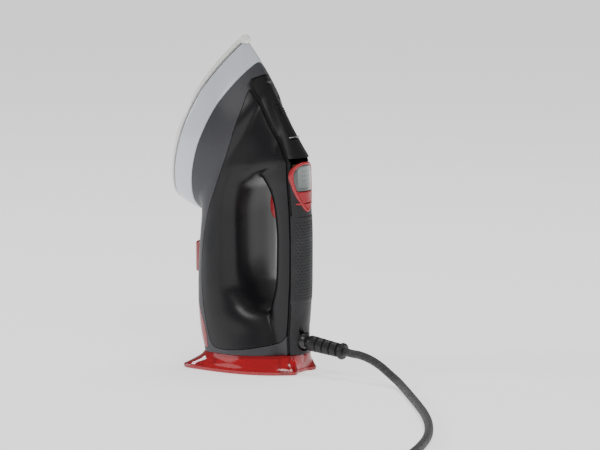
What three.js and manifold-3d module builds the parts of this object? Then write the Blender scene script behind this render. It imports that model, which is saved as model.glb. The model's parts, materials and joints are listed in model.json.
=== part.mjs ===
// A steam iron standing on its heel: nose up, soleplate facing -X, handle on the +X side.
// Millimetres, +Z up. The origin is the middle of the footprint, on the surface it stands on.
import * as THREE from "three";
import { mergeVertices } from "three/addons/utils/BufferGeometryUtils.js";
import Module from "manifold-3d";

const wasm = await Module();
wasm.setup();

// ---------------------------------------------------------------- driving dimensions
const gap = 0.3; // clearance kept between two pieces that touch
const wall = 2.4; // moulded shells
const soleTilt = THREE.MathUtils.degToRad(21); // soleplate against the vertical
const nose = new THREE.Vector3(-7, 0, 295.5); // where the sole face meets the centreline
const soleThickness = 3.2;
const skirtBottom = 5.2; // heights above the sole face, along its normal
const skirtTop = 24;
const heelTop = 17; // heights above the floor
const heelLip = 4;
const heelRear = 60.8;
const heelFront = -45;
const cordRadius = 3.55;
const ballCentre = new THREE.Vector3(56, 0, 28.5);
const ballRadius = 8.2;
const reliefPitch = THREE.MathUtils.degToRad(6); // how far the strain relief points down
const reliefLength = 46;
const coilCentre = new THREE.Vector3(270, -345, 0);
const coilMiddle = 36; // radius at the middle of the turns
const coilRows = 4; // turns side by side, in two layers
const coilLift = 0.9; // the tie passes under the coil

// Outlines of the head, half of each, from the nose to the rear edge: [station, half width].
const headOutlines = [
  {
    h: 0,
    half: [[0, 0], [4, 7.5], [14, 18.5], [26, 30], [48, 45.5], [82, 54.5], [105, 53], [127, 46.5],
      [146, 34.5], [156, 17], [158, 0]],
  },
  {
    h: skirtTop,
    half: [[15, 0], [18.5, 8], [26, 18.5], [36, 29.5], [56, 45.5], [84, 53.8], [104, 53.2], [125, 47],
      [145, 34], [157, 16], [161, 0]],
  },
  {
    h: 46,
    half: [[31, 0], [33.5, 6], [39, 14], [48, 24], [64, 36.5], [84, 43.5], [104, 44], [122, 40],
      [138, 31], [148, 16], [151, 0]],
  },
];

// Sections of the body, one row a height: front, corner, widest, shoulder and rear as [x, half width].
const bodySections = [
  { z: 17, half: [[-29, 0], [-28, 26], [-21, 38.5], [-2, 42], [12, 41], [30, 33], [42, 22], [50, 0]] },
  { z: 34, half: [[-33.5, 0], [-31.5, 28], [-24, 40], [-8, 43.5], [6, 42], [24, 33.5], [38, 20], [46, 0]] },
  { z: 50, half: [[-35.5, 0], [-33, 29], [-25.5, 41], [-11, 45], [2, 43], [18, 35], [32, 18], [39, 0]] },
  { z: 62, half: [[-36, 0], [-33.5, 29], [-26, 41.5], [-13, 45.5], [-1, 43.5], [11, 35], [20, 18], [24, 0]] },
  { z: 78, half: [[-36, 0], [-33.5, 29], [-26, 41.5], [-14, 46], [-3, 44], [6, 34], [11.5, 17], [13.5, 0]] },
  { z: 104, half: [[-34.8, 0], [-32.5, 29], [-25, 41.5], [-14, 46], [-4, 44], [5.5, 34], [9, 18], [9.5, 0]] },
  { z: 140, half: [[-31.5, 0], [-30, 27], [-24, 39], [-14, 44.5], [-3, 43.5], [5.5, 34], [8.6, 18], [9, 0]] },
  { z: 162, half: [[-36, 0], [-34, 25], [-28, 37], [-10, 44.8], [0, 42.5], [7, 34], [11.5, 18], [12.5, 0]] },
  { z: 174, half: [[-36, 0], [-34, 25], [-26, 37], [-6, 44.5], [4, 41], [13, 31.5], [22, 18], [26, 0]] },
  { z: 186, half: [[-36, 0], [-34, 25], [-24, 37], [-2, 43.5], [8, 38.5], [20, 28], [40, 19.5], [52, 0]] },
  { z: 210, half: [[-36, 0], [-33, 24], [-20, 36], [2, 41.5], [10, 34.5], [19, 26.5], [38, 15.5], [46, 0]] },
  { z: 234, half: [[-26, 0], [-24, 18], [-13, 29], [4, 31], [11, 25.5], [16, 20.5], [28, 12], [32, 0]] },
  { z: 256, half: [[-12, 0], [-11, 8], [-4, 13.5], [6, 13.5], [10, 11.5], [13, 9.5], [18, 7], [20.6, 0]] },
];

// The handle, one row a height: underside and top as x, then the half width.
const handleSections = [
  { z: 17, under: 36, top: 60.8, half: 17.2 },
  { z: 36, under: 34, top: 60.4, half: 17.6 },
  { z: 52, under: 32, top: 61.8, half: 17.6 },
  { z: 82, under: 38.2, top: 63.4, half: 17.4 },
  { z: 117, under: 39, top: 63.6, half: 17.2 },
  { z: 143, under: 37, top: 62.7, half: 17.4 },
  { z: 160, under: 32.6, top: 61.6, half: 17.8 },
  { z: 172, under: 25, top: 60.9, half: 18.4 },
  { z: 190.5, under: 12, top: 60.4, half: 18.2 },
  { z: 203, under: 8, top: 52.9, half: 15.4 },
  { z: 226, under: 4, top: 39.1, half: 11.6 },
  { z: 256.5, under: 2, top: 21, half: 7.4 },
];
const spine = [[60.4, 190.5], [20.8, 256.8]]; // profile of the ridge above the handle
const crownDepth = 8; // how far below the ridge the groove runs

// ---------------------------------------------------------------- geometry helpers
function toSolid(geometry) {
  const bare = geometry.index ? geometry.toNonIndexed() : geometry.clone();
  bare.deleteAttribute("normal");
  bare.deleteAttribute("uv");
  const merged = mergeVertices(bare, 1e-4);
  const made = new wasm.Mesh({
    numProp: 3,
    vertProperties: merged.attributes.position.array,
    triVerts: new Uint32Array(merged.index.array),
  });
  return new wasm.Manifold(made);
}

function toGeometry(solid) {
  const mesh = solid.getMesh();
  const geometry = new THREE.BufferGeometry();
  geometry.setAttribute("position", new THREE.BufferAttribute(mesh.vertProperties, 3));
  geometry.setIndex(new THREE.BufferAttribute(mesh.triVerts, 1));
  const flat = geometry.toNonIndexed();
  flat.computeVertexNormals();
  return flat;
}

const cut = (solid, ...tools) => tools.reduce((rest, tool) => rest.subtract(tool), solid);
const join = (first, ...others) => others.reduce((sum, other) => sum.add(other), first);

// The full closed outline through a half outline that starts and ends on the centreline.
function outlineOf(half, steps) {
  const mirrored = half.slice(1, -1).reverse().map(([a, w]) => [a, -w]);
  const knots = [...half, ...mirrored].map(([a, w]) => new THREE.Vector3(a, -w, 0));
  return new THREE.CatmullRomCurve3(knots, true, "centripetal").getPoints(steps).slice(0, steps);
}

// Scales an outline about its middle so that its sides come in by the given depth.
function shrink(outline, depth) {
  const box = new THREE.Box3().setFromPoints(outline);
  const centre = box.getCenter(new THREE.Vector3());
  const halfWidth = (box.max.y - box.min.y) / 2;
  const factor = 1 - depth / halfWidth;
  return outline.map((p) => p.clone().sub(centre).multiplyScalar(factor).add(centre));
}

// A closed skin over outlines of equal length, the first and last filled in.
function loft(rings) {
  const count = rings[0].length;
  const positions = rings.flat().flatMap((p) => [p.x, p.y, p.z]);
  const index = [];
  for (let r = 0; r + 1 < rings.length; r += 1) {
    for (let i = 0; i < count; i += 1) {
      const a = r * count + i;
      const b = r * count + ((i + 1) % count);
      index.push(a, b, b + count, a, b + count, a + count);
    }
  }
  const flatten = (ring) => ring.map((p) => new THREE.Vector2(p.x, p.y));
  const last = (rings.length - 1) * count;
  for (const [a, b, c] of THREE.ShapeUtils.triangulateShape(flatten(rings[0]), [])) index.push(a, c, b);
  for (const [a, b, c] of THREE.ShapeUtils.triangulateShape(flatten(rings.at(-1)), [])) {
    index.push(last + a, last + b, last + c);
  }
  const geometry = new THREE.BufferGeometry();
  geometry.setAttribute("position", new THREE.Float32BufferAttribute(positions, 3));
  geometry.setIndex(index);
  return toSolid(geometry);
}

// A flat outline in X and Z, drawn out along Y to a half width on both sides.
function prism(points, halfWidth) {
  const shape = new THREE.Shape(points.map(([x, z]) => new THREE.Vector2(x, z)));
  const geometry = new THREE.ExtrudeGeometry(shape, { depth: 2 * halfWidth, bevelEnabled: false });
  return toSolid(geometry.rotateX(Math.PI / 2).translate(0, halfWidth, 0));
}

function box(x0, x1, y0, y1, z0, z1) {
  const geometry = new THREE.BoxGeometry(x1 - x0, y1 - y0, z1 - z0);
  return toSolid(geometry.translate((x0 + x1) / 2, (y0 + y1) / 2, (z0 + z1) / 2));
}

// A cylinder or cone from one point to another.
function rod(from, to, r0, r1 = r0, sides = 20) {
  const along = to.clone().sub(from);
  const geometry = new THREE.CylinderGeometry(r1, r0, along.length(), sides);
  geometry.translate(0, along.length() / 2, 0);
  const turn = new THREE.Quaternion().setFromUnitVectors(new THREE.Vector3(0, 1, 0), along.normalize());
  return toSolid(geometry.applyQuaternion(turn).translate(from.x, from.y, from.z));
}

const sphere = (centre, radius, across = 20) =>
  toSolid(new THREE.SphereGeometry(radius, across, across / 2).translate(centre.x, centre.y, centre.z));

// A round tube along a smooth curve through the given points.
function tube(points, radius, sides, steps) {
  const path = new THREE.CatmullRomCurve3(points.map((p) => new THREE.Vector3(...p)), false, "centripetal");
  const ring = [];
  for (let i = 0; i < sides; i += 1) {
    const angle = (2 * Math.PI * i) / sides;
    ring.push(new THREE.Vector2(radius * Math.cos(angle), radius * Math.sin(angle)));
  }
  const options = { steps, extrudePath: path, bevelEnabled: false };
  return toSolid(new THREE.ExtrudeGeometry(new THREE.Shape(ring), options));
}

// ---------------------------------------------------------------- the head's own frame
// Station along the sole, width, height above the sole face.
const down = new THREE.Vector3(-Math.sin(soleTilt), 0, -Math.cos(soleTilt));
const across = new THREE.Vector3(0, 1, 0);
const normal = new THREE.Vector3(Math.cos(soleTilt), 0, -Math.sin(soleTilt));
const headFrame = new THREE.Matrix4().makeBasis(down, across, normal).setPosition(nose);
const placeHead = (solid) => solid.transform(headFrame.elements);

// The head's outline at any height: a smooth blend through the three given ones.
function headOutline(h, steps, depth = 0) {
  const [low, mid, high] = headOutlines;
  const weights = [
    ((h - mid.h) * (h - high.h)) / ((low.h - mid.h) * (low.h - high.h)),
    ((h - low.h) * (h - high.h)) / ((mid.h - low.h) * (mid.h - high.h)),
    ((h - low.h) * (h - mid.h)) / ((high.h - low.h) * (high.h - mid.h)),
  ];
  const blend = (i, axis) => headOutlines.reduce((sum, outline,
    k) => sum + weights[k] * outline.half[i][axis], 0);
  const half = low.half.map((_, i) => [blend(i, 0), blend(i, 1)]);
  const ring = shrink(outlineOf(half, steps), depth);
  ring.forEach((p) => { p.z = h; });
  return ring;
}

const headLoft = (heights, steps, depth = 0) => loft(heights.map((h) => headOutline(h, steps, depth)));

// ---------------------------------------------------------------- outer skins and hollows
function bodyLoft(depth, steps = 30) {
  return loft(bodySections.map(({ z, half }) => {
    const ring = shrink(outlineOf(half, steps), depth);
    ring.forEach((p) => { p.z = z; });
    return ring;
  }));
}

function handleOutline({ z, under, top, half }, depth) {
  const section = [
    [under, 0], [under, half - 4], [under + 2.5, half - 1], [under + 7, half],
    [top - crownDepth, half - 1.6], [top - 3.2, half * 0.62], [top - 0.8, half * 0.3], [top, 0],
  ];
  const ring = shrink(outlineOf(section, 22), depth);
  ring.forEach((p) => { p.z = z; });
  return ring;
}

const handleLoft = (depth) => loft(handleSections.map((row) => handleOutline(row, depth)));

const skirtSpace = placeHead(box(-60, 162, -80, 80, -60, skirtTop + gap));

// The outside of the whole upper part, brought in by a depth.
function skinAt(depth) {
  const body = cut(bodyLoft(depth), skirtSpace);
  return join(placeHead(headLoft([skirtTop + gap, 31, 38, 46 - depth], 34, depth)), body, handleLoft(depth));
}

const skin = skinAt(0);
const bodyHollow = bodyLoft(wall);
const headHollow = placeHead(headLoft([skirtTop - 1, 31, 38, 44], 34, wall));
const shell = cut(skin, headHollow, bodyHollow, handleLoft(wall));

// ---------------------------------------------------------------- seams, as profiles in X and Z
const far = 90; // beyond the object on every side

// The glossy body starts behind this line; the satin casing lies in front of it and below it.
const bodySeam = new THREE.SplineCurve([
  [13.4, 255], [13.5, 246], [13.2, 232], [9.5, 210], [3.5, 190], [-5, 165], [-14, 140], [-19, 112],
  [-20.5, 90], [-19, 62], [-16, 42], [-12.5, 28],
].map(([x, z]) => new THREE.Vector2(x, z))).getPoints(24).map((p) => [p.x, p.y]);
const bodyHem = [[-9.5, 23.2], [-3, 21.2], [14, 21.6], [38, 25.6], [46, 28.5], [51, 34], [53.5, 46]];

function bodyRegion(inset) {
  const seam = bodySeam.map(([x, z], i) => [x + inset, i ? z : z - inset]);
  const hem = bodyHem.map(([x, z]) => [x + inset * (x < 20 ? 0.5 : -0.9), z + inset * 1.4]);
  return prism([...hem, [far, 46 + inset * 1.4], [far, bodySeam[0][1] - inset], ...seam], far);
}

// The groove between the body and the crown runs a fixed depth below the ridge.
const grooveWidth = 2.4;
const crownBend = spine[0][1];
const ridge = [
  ...handleSections.filter((row) => row.z < crownBend).map(({ z, top }) => [top, z]),
  ...spine,
];
const grooveLine = ridge.map(([x, z]) => [x - crownDepth, z > 180 ? z - 3.2 : z]);

const spineAlong = new THREE.Vector3(spine[1][0] - spine[0][0], 0, spine[1][1] - spine[0][1]).normalize();
const spineOut = new THREE.Vector3(spineAlong.z, 0, -spineAlong.x);
const onSpine = (along, out, y = 0) => new THREE.Vector3(spine[0][0], y, spine[0][1])
  .addScaledVector(spineAlong, along).addScaledVector(spineOut, out);
const crownEnd = 83; // how far up the spine the crown reaches

// A slab across the spine between two distances up it.
function spineBlock(a0, a1, y0, y1, o0, o1) {
  const corner = (a, o) => [onSpine(a, o).x, onSpine(a, o).z];
  const block = prism([corner(a1, o0), corner(a1, o1), corner(a0, o1), corner(a0, o0)], far);
  return block.intersect(box(-far, far, y0, y1, 0, 4 * far));
}

// Everything on the +X side of the groove line, shifted along X, up to the crown's end.
function behindGroove(shift) {
  const line = grooveLine.map(([x, z]) => [x + shift, z]).reverse();
  const side = prism([[far, 0], [far, 4 * far], [line[0][0], 4 * far], ...line, [line.at(-1)[0], 0]], far);
  return cut(side, spineBlock(crownEnd - shift / 2, 4 * far, -far, far, -far, far));
}

const aboveHeel = box(-far, far, -far, far, heelTop + gap, 4 * far);
const frontRegion = cut(aboveHeel, behindGroove(-grooveWidth / 2));
const crownShell = shell.intersect(behindGroove(grooveWidth / 2)).intersect(aboveHeel);
const sideOf = (side) => box(-far, far, side > 0 ? 0.5 : -far, side > 0 ? far : -0.5, 0, 4 * far);

// The dark strip at the bottom of the groove, on one side.
function makeGrooveTrim(side) {
  const depth = 1.3;
  const sheet = cut(skinAt(depth), headHollow, bodyLoft(depth + 1), handleLoft(depth + 1));
  const slot = cut(behindGroove(gap - grooveWidth / 2), behindGroove(grooveWidth / 2 - gap));
  return largest(sheet.intersect(slot).intersect(aboveHeel).intersect(sideOf(side)));
}

const largest = (solid) => solid.decompose().reduce((a, b) => (b.volume() > a.volume() ? b : a));

// ---------------------------------------------------------------- small shared shapes
const at = (x, y, z) => new THREE.Vector3(x, y, z);
const headPoint = (s, w, h) => at(s, w, h).applyMatrix4(headFrame);
const headRod = (s, w, h0, h1, r0, r1 = r0, sides = 16) =>
  rod(headPoint(s, w, h0), headPoint(s, w, h1), r0, r1, sides);

// ---------------------------------------------------------------- the sole and its heating block
const steamHoles = [24, 36, 48, 60, 72, 84, 96, 108].flatMap((s) => {
  const w = Math.min(6 + s * 0.36, 34);
  return [[s, -w], [s, w]];
});

// The rounded tip that the sole plate turns up into, in front of the skirt.
const beakSolid = (grow) => toSolid(
  new THREE.SphereGeometry(1, 12, 8).scale(5 + grow, 5.6 + grow, 4.4 + grow).translate(3.2, 0, 3.6));

function makeSoleplate() {
  const plate = headLoft([0, 1, soleThickness - 0.6, soleThickness], 38);
  const holes = steamHoles.map(([s, w]) => toSolid(
    new THREE.CylinderGeometry(1.8, 1.8, 20, 7).rotateX(Math.PI / 2).translate(s, w, 0)));
  return placeHead(cut(join(plate, beakSolid(0)), ...holes));
}

function headSlab(h0, h1, inset, steps = 28) {
  return headLoft([h0, h1], steps, inset);
}

function makeSoleGasket() {
  return placeHead(cut(headSlab(soleThickness + gap, skirtBottom - gap, 2.6), headSlab(0, 30, 7),
    beakSolid(gap)));
}

function makeSkirt() {
  const outer = headLoft([skirtBottom, 11, 18, skirtTop], 36);
  const inner = headLoft([0, 11, 18, 30], 36, wall);
  return placeHead(cut(outer, inner, beakSolid(gap)));
}

const elementPath = [[118, -22, 12.4], [92, -26, 12.4], [64, -22, 12.4], [42, -10, 12.4], [36, 0, 12.4],
  [42, 10, 12.4], [64, 22, 12.4], [92, 26, 12.4], [118, 22, 12.4]];
const elementRadius = 3.2;

function makeSteamChamber() {
  const block = headLoft([soleThickness + gap, 9, 12.4], 28, 9);
  return placeHead(cut(block, tube(elementPath, elementRadius + gap, 8, 22)));
}

const makeHeatingElement = () => placeHead(tube(elementPath, elementRadius, 8, 22));

function makeChamberCover() {
  return cut(placeHead(headSlab(16, 17.4, 14, 24)), headRod(92, 0, 10, 30, 1.8), headRod(56, 0, 10, 30, 5.3));
}

const makeThermostat = () => headRod(78, 0, 17.7, 24, 8);
const makeThermalFuse = () => rod(headPoint(98, -5, 19.9), headPoint(98, 12, 19.9), 2);
const makeSteamValve = () => join(headRod(56, 0, 12.8, 27, 5), headRod(56, 0, 26.5, 34, 3.2));

function makeHeatShield() {
  const plate = placeHead(headSlab(28, 29.4, 6, 28));
  return cut(plate, headRod(56, 0, 20, 40, 6), headRod(100, 0, 20, 40, 7));
}

// ---------------------------------------------------------------- water tank and its latch
const tankFloor = 21;
const tankTop = 74;
const tankHalf = 33;
const stopperX = -16;

// The tank's outer face wraps round both front corners, most of all low down.
const tankEdge = [[-16.5, tankFloor], [-17, 30], [-18.5, 40], [-22, 50], [-27, 62], [-29, tankTop]];

function tankFace(grow) {
  const edge = tankEdge.map(([x, z]) => [x + grow, z]);
  edge[0][1] -= grow;
  edge.at(-1)[1] += grow;
  return prism([[-far, tankFloor - grow], ...edge, [-far, tankTop + grow]], far);
}

function tankSolid(grow) {
  const face = tankFace(grow);
  const bin = box(-26, 4 + grow, -tankHalf - grow, tankHalf + grow, tankFloor + 1 - grow, tankTop - 3 + grow);
  return join(grow ? face : skin.intersect(face), bin);
}

function makeWaterTank() {
  const water = box(-28.5, 2, -tankHalf + 2, tankHalf - 2, tankFloor + 3, tankTop - 5);
  return cut(tankSolid(0), water, rod(at(stopperX, 0, tankTop - 10), at(stopperX, 0, far), 6));
}

const makeTankStopper = () => join(
  rod(at(stopperX, 0, tankTop - 7), at(stopperX, 0, tankTop - 2), 5.6),
  rod(at(stopperX, 0, tankTop - 2.7), at(stopperX, 0, tankTop - 0.7), 8));

// The wide push tab that lets the tank go. It stands proud of the casing's front.
const latchBottom = 86;
const latchTop = 113.5;
const latchHalf = 32;
const latchProud = 6.2;
const latchBack = -20;

function latchSolid(grow) {
  const levels = [latchBottom - grow, latchBottom + 3, latchTop - 3, latchTop + grow];
  return loft(levels.map((z, level) => {
    const rounded = level % 3 === 0 ? 2.4 : 0;
    const front = -35.4 - latchProud + rounded;
    const side = latchHalf + grow;
    const half = [[front, 10], [front + 1.2, 24], [front + 3.6, side - 2], [front + 7, side], [latchBack,
      side]];
    return [...half.map(([x, w]) => at(x, -w, z)), ...half.reverse().map(([x, w]) => at(x, w, z))];
  }));
}

function makeTankLatch() {
  return cut(latchSolid(0), box(-32, -18, -latchHalf + 3, latchHalf - 3, latchBottom + 3, latchTop - 3));
}

const makeLatchFrame = () => cut(
  box(-14, -11.6, -34, 34, 82, 118), box(-20, 0, -26, 26, 92, 108));

// A coil spring as a plain tube helix.
function spring(from, to, radius, wire, turns) {
  const along = to.clone().sub(from);
  const turn = new THREE.Quaternion().setFromUnitVectors(at(0, 0, 1), along.clone().normalize());
  const points = [];
  for (let i = 0; i <= turns * 6; i += 1) {
    const angle = (i * Math.PI) / 3;
    const p = at(radius * Math.cos(angle), radius * Math.sin(angle), (along.length() * i) / (turns * 6));
    points.push(p.applyQuaternion(turn).add(from).toArray());
  }
  return tube(points, wire, 5, turns * 8);
}

const makeLatchSpring = (side) => spring(at(-30.6, side * 20, 100), at(-18.4, side * 20, 100), 3, 0.5, 3);

// ---------------------------------------------------------------- display in the handle's crown
const displayTop = 187.4;
const displayTail = 143.6;

// A teardrop seen along X, wide above and pointed below, grown or shrunk by an offset.
function teardrop(offset) {
  const wide = 15.4 + offset;
  const top = displayTop + offset;
  const tail = displayTail - offset;
  const shape = new THREE.Shape();
  shape.moveTo(0, tail);
  shape.bezierCurveTo(5 + offset, tail, wide, 161, wide, 175);
  shape.bezierCurveTo(wide, top - 3, 8, top, 0, top);
  shape.bezierCurveTo(-8, top, -wide, top - 3, -wide, 175);
  shape.bezierCurveTo(-wide, 161, -5 - offset, tail, 0, tail);
  const geometry = new THREE.ExtrudeGeometry(shape, { depth: 40, bevelEnabled: false, curveSegments: 7 });
  return toSolid(geometry.rotateX(Math.PI / 2).rotateZ(Math.PI / 2).translate(40, 0, 0));
}

const keySplit = 151.6; // the line between the two keys
const keyTop = 161.8; // the line between the keys and the screen
const keyProud = 0.5;
const band = (z0, z1) => box(0, far, -far, far, z0, z1);
const crownFace = crownShell.intersect(band(100, crownBend));
const proudFace = crownFace.translate([keyProud, 0, 0]);
const screenCut = (offset) => teardrop(offset - 2.6).intersect(band(keyTop + 0.8 - offset, 186));
const keyCut = (offset, z0, z1) => teardrop(offset - 1.8).intersect(band(z0 - offset, z1 + offset));
const keyLow = [displayTail + 1.5, keySplit - 0.3];
const keyHigh = [keySplit + 0.3, keyTop - 0.5];

const makeBezel = () => cut(
  proudFace.intersect(teardrop(0)), screenCut(gap), keyCut(gap, keyLow[0], keyHigh[1]));
const makeLens = () => crownFace.translate([0.2, 0, 0]).intersect(screenCut(0));
const makeKey = ([z0, z1]) => largest(proudFace.intersect(keyCut(0, z0, z1)));

// ---------------------------------------------------------------- steam trigger under the handle
const triggerPin = at(35.2, 0, 163.5);
const triggerHalf = 10.5;
const triggerProfile = [[33.8, 166], [31.4, 162.6], [30.4, 158], [29.4, 149], [30.6, 141], [33.4, 137.4],
  [37, 136.6], [40.8, 137.4], [41.4, 147], [39.2, 158], [37.6, 165.6]];

function makeTrigger() {
  const pinHole = rod(at(triggerPin.x, -20, triggerPin.z), at(triggerPin.x, 20, triggerPin.z), 1.5);
  return cut(prism(triggerProfile, triggerHalf), pinHole);
}

const triggerWindow = box(24, 46, -triggerHalf - 0.5, triggerHalf + 0.5, 132.4, 168);
const makeTriggerPin = () => rod(
  at(triggerPin.x, -triggerHalf - 0.4, triggerPin.z), at(triggerPin.x, triggerHalf + 0.4, triggerPin.z), 1.2);
const makeTriggerSpring = () => spring(at(42.3, 0, 142), at(46, 0, 142), 2.6, 0.45, 2);
const makeSteamSwitch = () => box(50.6, 52, -8, 8, 130, 150);

// ---------------------------------------------------------------- filler flap on the spine
const flapStart = 20; // distances up the spine from the bend
const flapEnd = 54;
const flapHalf = 5.4;
const pivotDepth = -1.3;

const flapBlock = (grow) => spineBlock(flapStart - 2 * grow, flapEnd + grow, -flapHalf - grow,
  flapHalf + grow, -6, 4);
const spineShell = crownShell.intersect(box(-far, far, -far, far, crownBend + gap, 4 * far));
const flapPivot = onSpine(flapStart + 1.6, pivotDepth);
const flapPinHole = (radius) => rod(
  at(flapPivot.x, -flapHalf - 1.4, flapPivot.z), at(flapPivot.x, flapHalf + 1.4, flapPivot.z), radius,
    radius, 12);
const makeFlap = () => cut(largest(spineShell.intersect(flapBlock(0))), flapPinHole(0.75));
const makeFlapPin = () => flapPinHole(0.6);

function makeFillerNeck() {
  const outer = spineBlock(flapStart + 6, flapEnd - 3, -4.6, 4.6, -22, -5.2);
  const inner = spineBlock(flapStart + 7.4, flapEnd - 4.4, -3.4, 3.4, -20, -4);
  return cut(outer, inner, rod(onSpine(36, -25), onSpine(36, -15), 2.6));
}

const nozzleStation = 77;
const nozzleHole = rod(onSpine(nozzleStation, -8), onSpine(nozzleStation, 4), 2.9);
const makeSprayNozzle = () => join(
  rod(onSpine(nozzleStation, -6), onSpine(nozzleStation, 0.6), 2.6, 2.4),
  rod(onSpine(nozzleStation, 0.4), onSpine(nozzleStation, 1.8), 2.4, 1.3));

// ---------------------------------------------------------------- translucent heel
const heelOutline = [[heelFront, 0], [heelFront, 20], [heelFront + 0.8, 40], [heelFront + 3.8, 43], [-20,
  44.2],
  [4, 43], [24, 39], [43, 30.6], [heelRear - 3.4, 19.6], [heelRear - 0.4, 16.4], [heelRear - 0.8, 11],
  [heelRear - 3, 8], [heelRear - 3.2, 0]];
const heelWaist = [[-30, 0], [-29.6, 20], [-28, 29], [-21, 38.3], [-12, 41], [-2, 41.8], [13, 40], [30, 32.4],
  [44, 24], [52.6, 17.6], [56.4, 14], [59, 8.4], [59.4, 0]];
const rubberFoot = 2.6;
const heelScrews = [[8, 24], [8, -24]];
const footSpots = [[-34, 30], [-34, -30], [49, 17], [49, -17]];

function heelRings(depth, top) {
  const low = outlineOf(heelOutline, 38);
  const high = outlineOf(heelWaist, 38);
  const stations = [[0.5, 0], [heelLip, 0], [6, 0.22], [9, 0.52], [12.5, 0.8], [heelTop, 1]];
  return loft(stations.map(([z, blend]) => {
    const ring = shrink(low.map((p, i) => p.clone().lerp(high[i], blend)), depth);
    ring.forEach((p) => { p.z = z === heelTop ? top : z; });
    return ring;
  }));
}

function makeHeel() {
  const posts = footSpots.map(([x, y]) => rod(at(x, y, 0), at(x, y, far), 5, 5, 12));
  const cavity = cut(heelRings(3, heelTop - 3), ...posts);
  const under = box(-far, far, -far, far, -1, 0.6);
  const flute = rod(at(heelRear + 5.5, 0, -1), at(heelRear + 1.5, 0, heelTop + 1), 7, 4.6, 16);
  const sockets = footSpots.map(([x, y]) => rod(at(x, y, -1), at(x, y, rubberFoot + gap), 4.1, 4.1, 12));
  const screwHoles = heelScrews.map(([x, y]) => rod(at(x, y, 5), at(x, y, far), 1.9, 1.9, 12));
  return cut(heelRings(0, heelTop), cavity, under, flute, ...sockets, ...screwHoles);
}

const makeFoot = ([x, y]) => rod(at(x, y, 0), at(x, y, rubberFoot), 3.8, 3.8, 16);

// ---------------------------------------------------------------- cord exit
const reliefAlong = at(Math.cos(reliefPitch), 0, -Math.sin(reliefPitch));
const onRelief = (distance) => ballCentre.clone().addScaledVector(reliefAlong, distance);
const ballSpace = join(
  sphere(ballCentre, ballRadius + 0.5), rod(onRelief(0), onRelief(30), 7.8),
  ...[-1, 1].map((side) => rod(
    ballCentre, ballCentre.clone().add(at(26, side * 9.5, -3)), 7.8)));

function makeCordBall() {
  return cut(sphere(ballCentre, ballRadius, 16), rod(onRelief(4), onRelief(20), 5, 5, 14));
}

// Ribbed and tapered, with a flared collar at its end.
function makeStrainRelief() {
  const profile = [[0, 4.4], [4.7, 4.4], [4.7, 9], [6.9, 9], [6.9, 12]];
  for (let rib = 0; rib < 4; rib += 1) {
    const start = 12 + rib * 7.2;
    const radius = 6.9 - rib * 0.2;
    profile.push([radius, start + 5.6], [radius - 1, start + 5.8], [radius - 1, start + 7], [radius,
      start + 7.2]);
  }
  profile.push([6.1, reliefLength - 5], [7.4, reliefLength - 2.5], [6.8, reliefLength], [0, reliefLength]);
  const points = profile.map(([r, y]) => new THREE.Vector2(r, y));
  const geometry = new THREE.LatheGeometry(points, 14);
  geometry.applyQuaternion(new THREE.Quaternion().setFromUnitVectors(at(0, 1, 0), reliefAlong));
  return toSolid(geometry.translate(ballCentre.x, ballCentre.y, ballCentre.z));
}

const makeBallClamp = () => cut(
  box(40, 51, -10, 10, 19.8, 38), sphere(ballCentre, ballRadius + 0.4), box(38, 60, -5, 5, 24, 33));
const makeTerminalBlock = () => box(27, 37, -11, 11, 20, 30);

function makeBasePlate() {
  const plan = join(bodyLoft(wall + gap), handleLoft(wall + gap));
  const slab = plan.intersect(box(-26, 50, -far, far, heelTop + 0.6, heelTop + 2.4));
  return cut(slab, ...heelScrews.map(([x, y]) => rod(at(x, y, 0), at(x, y, far), 1.9, 1.9, 12)));
}

const makeHeelScrew = ([x, y]) => join(
  rod(at(x, y, 11.2), at(x, y, 13.7), 3.6, 3.2, 12),
  rod(at(x, y, 13.5), at(x, y, heelTop + 3.6), 1.5, 1.5, 10));

// ---------------------------------------------------------------- water and current inside
const pumpAt = at(-3, 0, 84);
const makePump = () => join(
  rod(pumpAt, at(-3, 0, 112), 7.2), rod(at(-3, 0, 80), at(-3, 0, 116), 2.4, 2.4, 10));
const makeIntakeHose = () => rod(at(-3, 0, tankTop - 2.7), at(-3, 0, 79.7), 2.6, 2.6, 10);
const makeSteamHose = () => tube([
  [-3, 0, 116.3], [-3, 0, 128], [-1, 0, 150], [3, 0, 180], [8, 0, 205], [11, 0, 218], [11.2, 0, 226],
  headPoint(56, 0, 39).toArray(), headPoint(56, 0, 34 + gap).toArray()], 2.5, 8, 16);
const makeControlBoard = () => box(44.5, 46.1, -10, 10, 62, 120);

// ---------------------------------------------------------------- cord, coil and plug
const cordRoute = [
  [118, 0, 22.4], [129, -0.6, 20], [140, -2, 16], [151, -4.6, 10.8], [163, -9.6, 6.2], [178, -22.4, 3.9],
  [196, -41.6, 3.6], [220, -68, 3.6], [240, -91, 3.6], [262, -120, 3.6], [283, -155, 3.6], [299, -195, 3.6],
  [309.5, -238, 3.6], [315.3, -280, 3.6], [316.65, -316.4, 3.7],
];
const coilOuter = coilMiddle + coilRows * cordRadius + 0.1;
const coilInner = coilMiddle - coilRows * cordRadius - 0.1;
const coilTop = coilLift + 4 * cordRadius + 0.1;
const tailY = coilCentre.y - (coilOuter - cordRadius - 0.1);
const plugEntry = at(coilCentre.x - 43, tailY, 9.5);

function makeCord() {
  const start = onRelief(reliefLength + gap);
  const lead = onRelief(reliefLength + 8);
  return tube([start.toArray(), lead.toArray(), ...cordRoute], cordRadius, 8, 42);
}

function makeCoil() {
  const section = [[coilInner, coilLift], [coilOuter, coilLift], [coilOuter, coilTop], [coilInner, coilTop]];
  const ring = new THREE.LatheGeometry([...section, section[0]].map(([r, y]) => new THREE.Vector2(r, y)), 40);
  return toSolid(ring.rotateX(Math.PI / 2).translate(coilCentre.x, coilCentre.y, 0));
}

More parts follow.
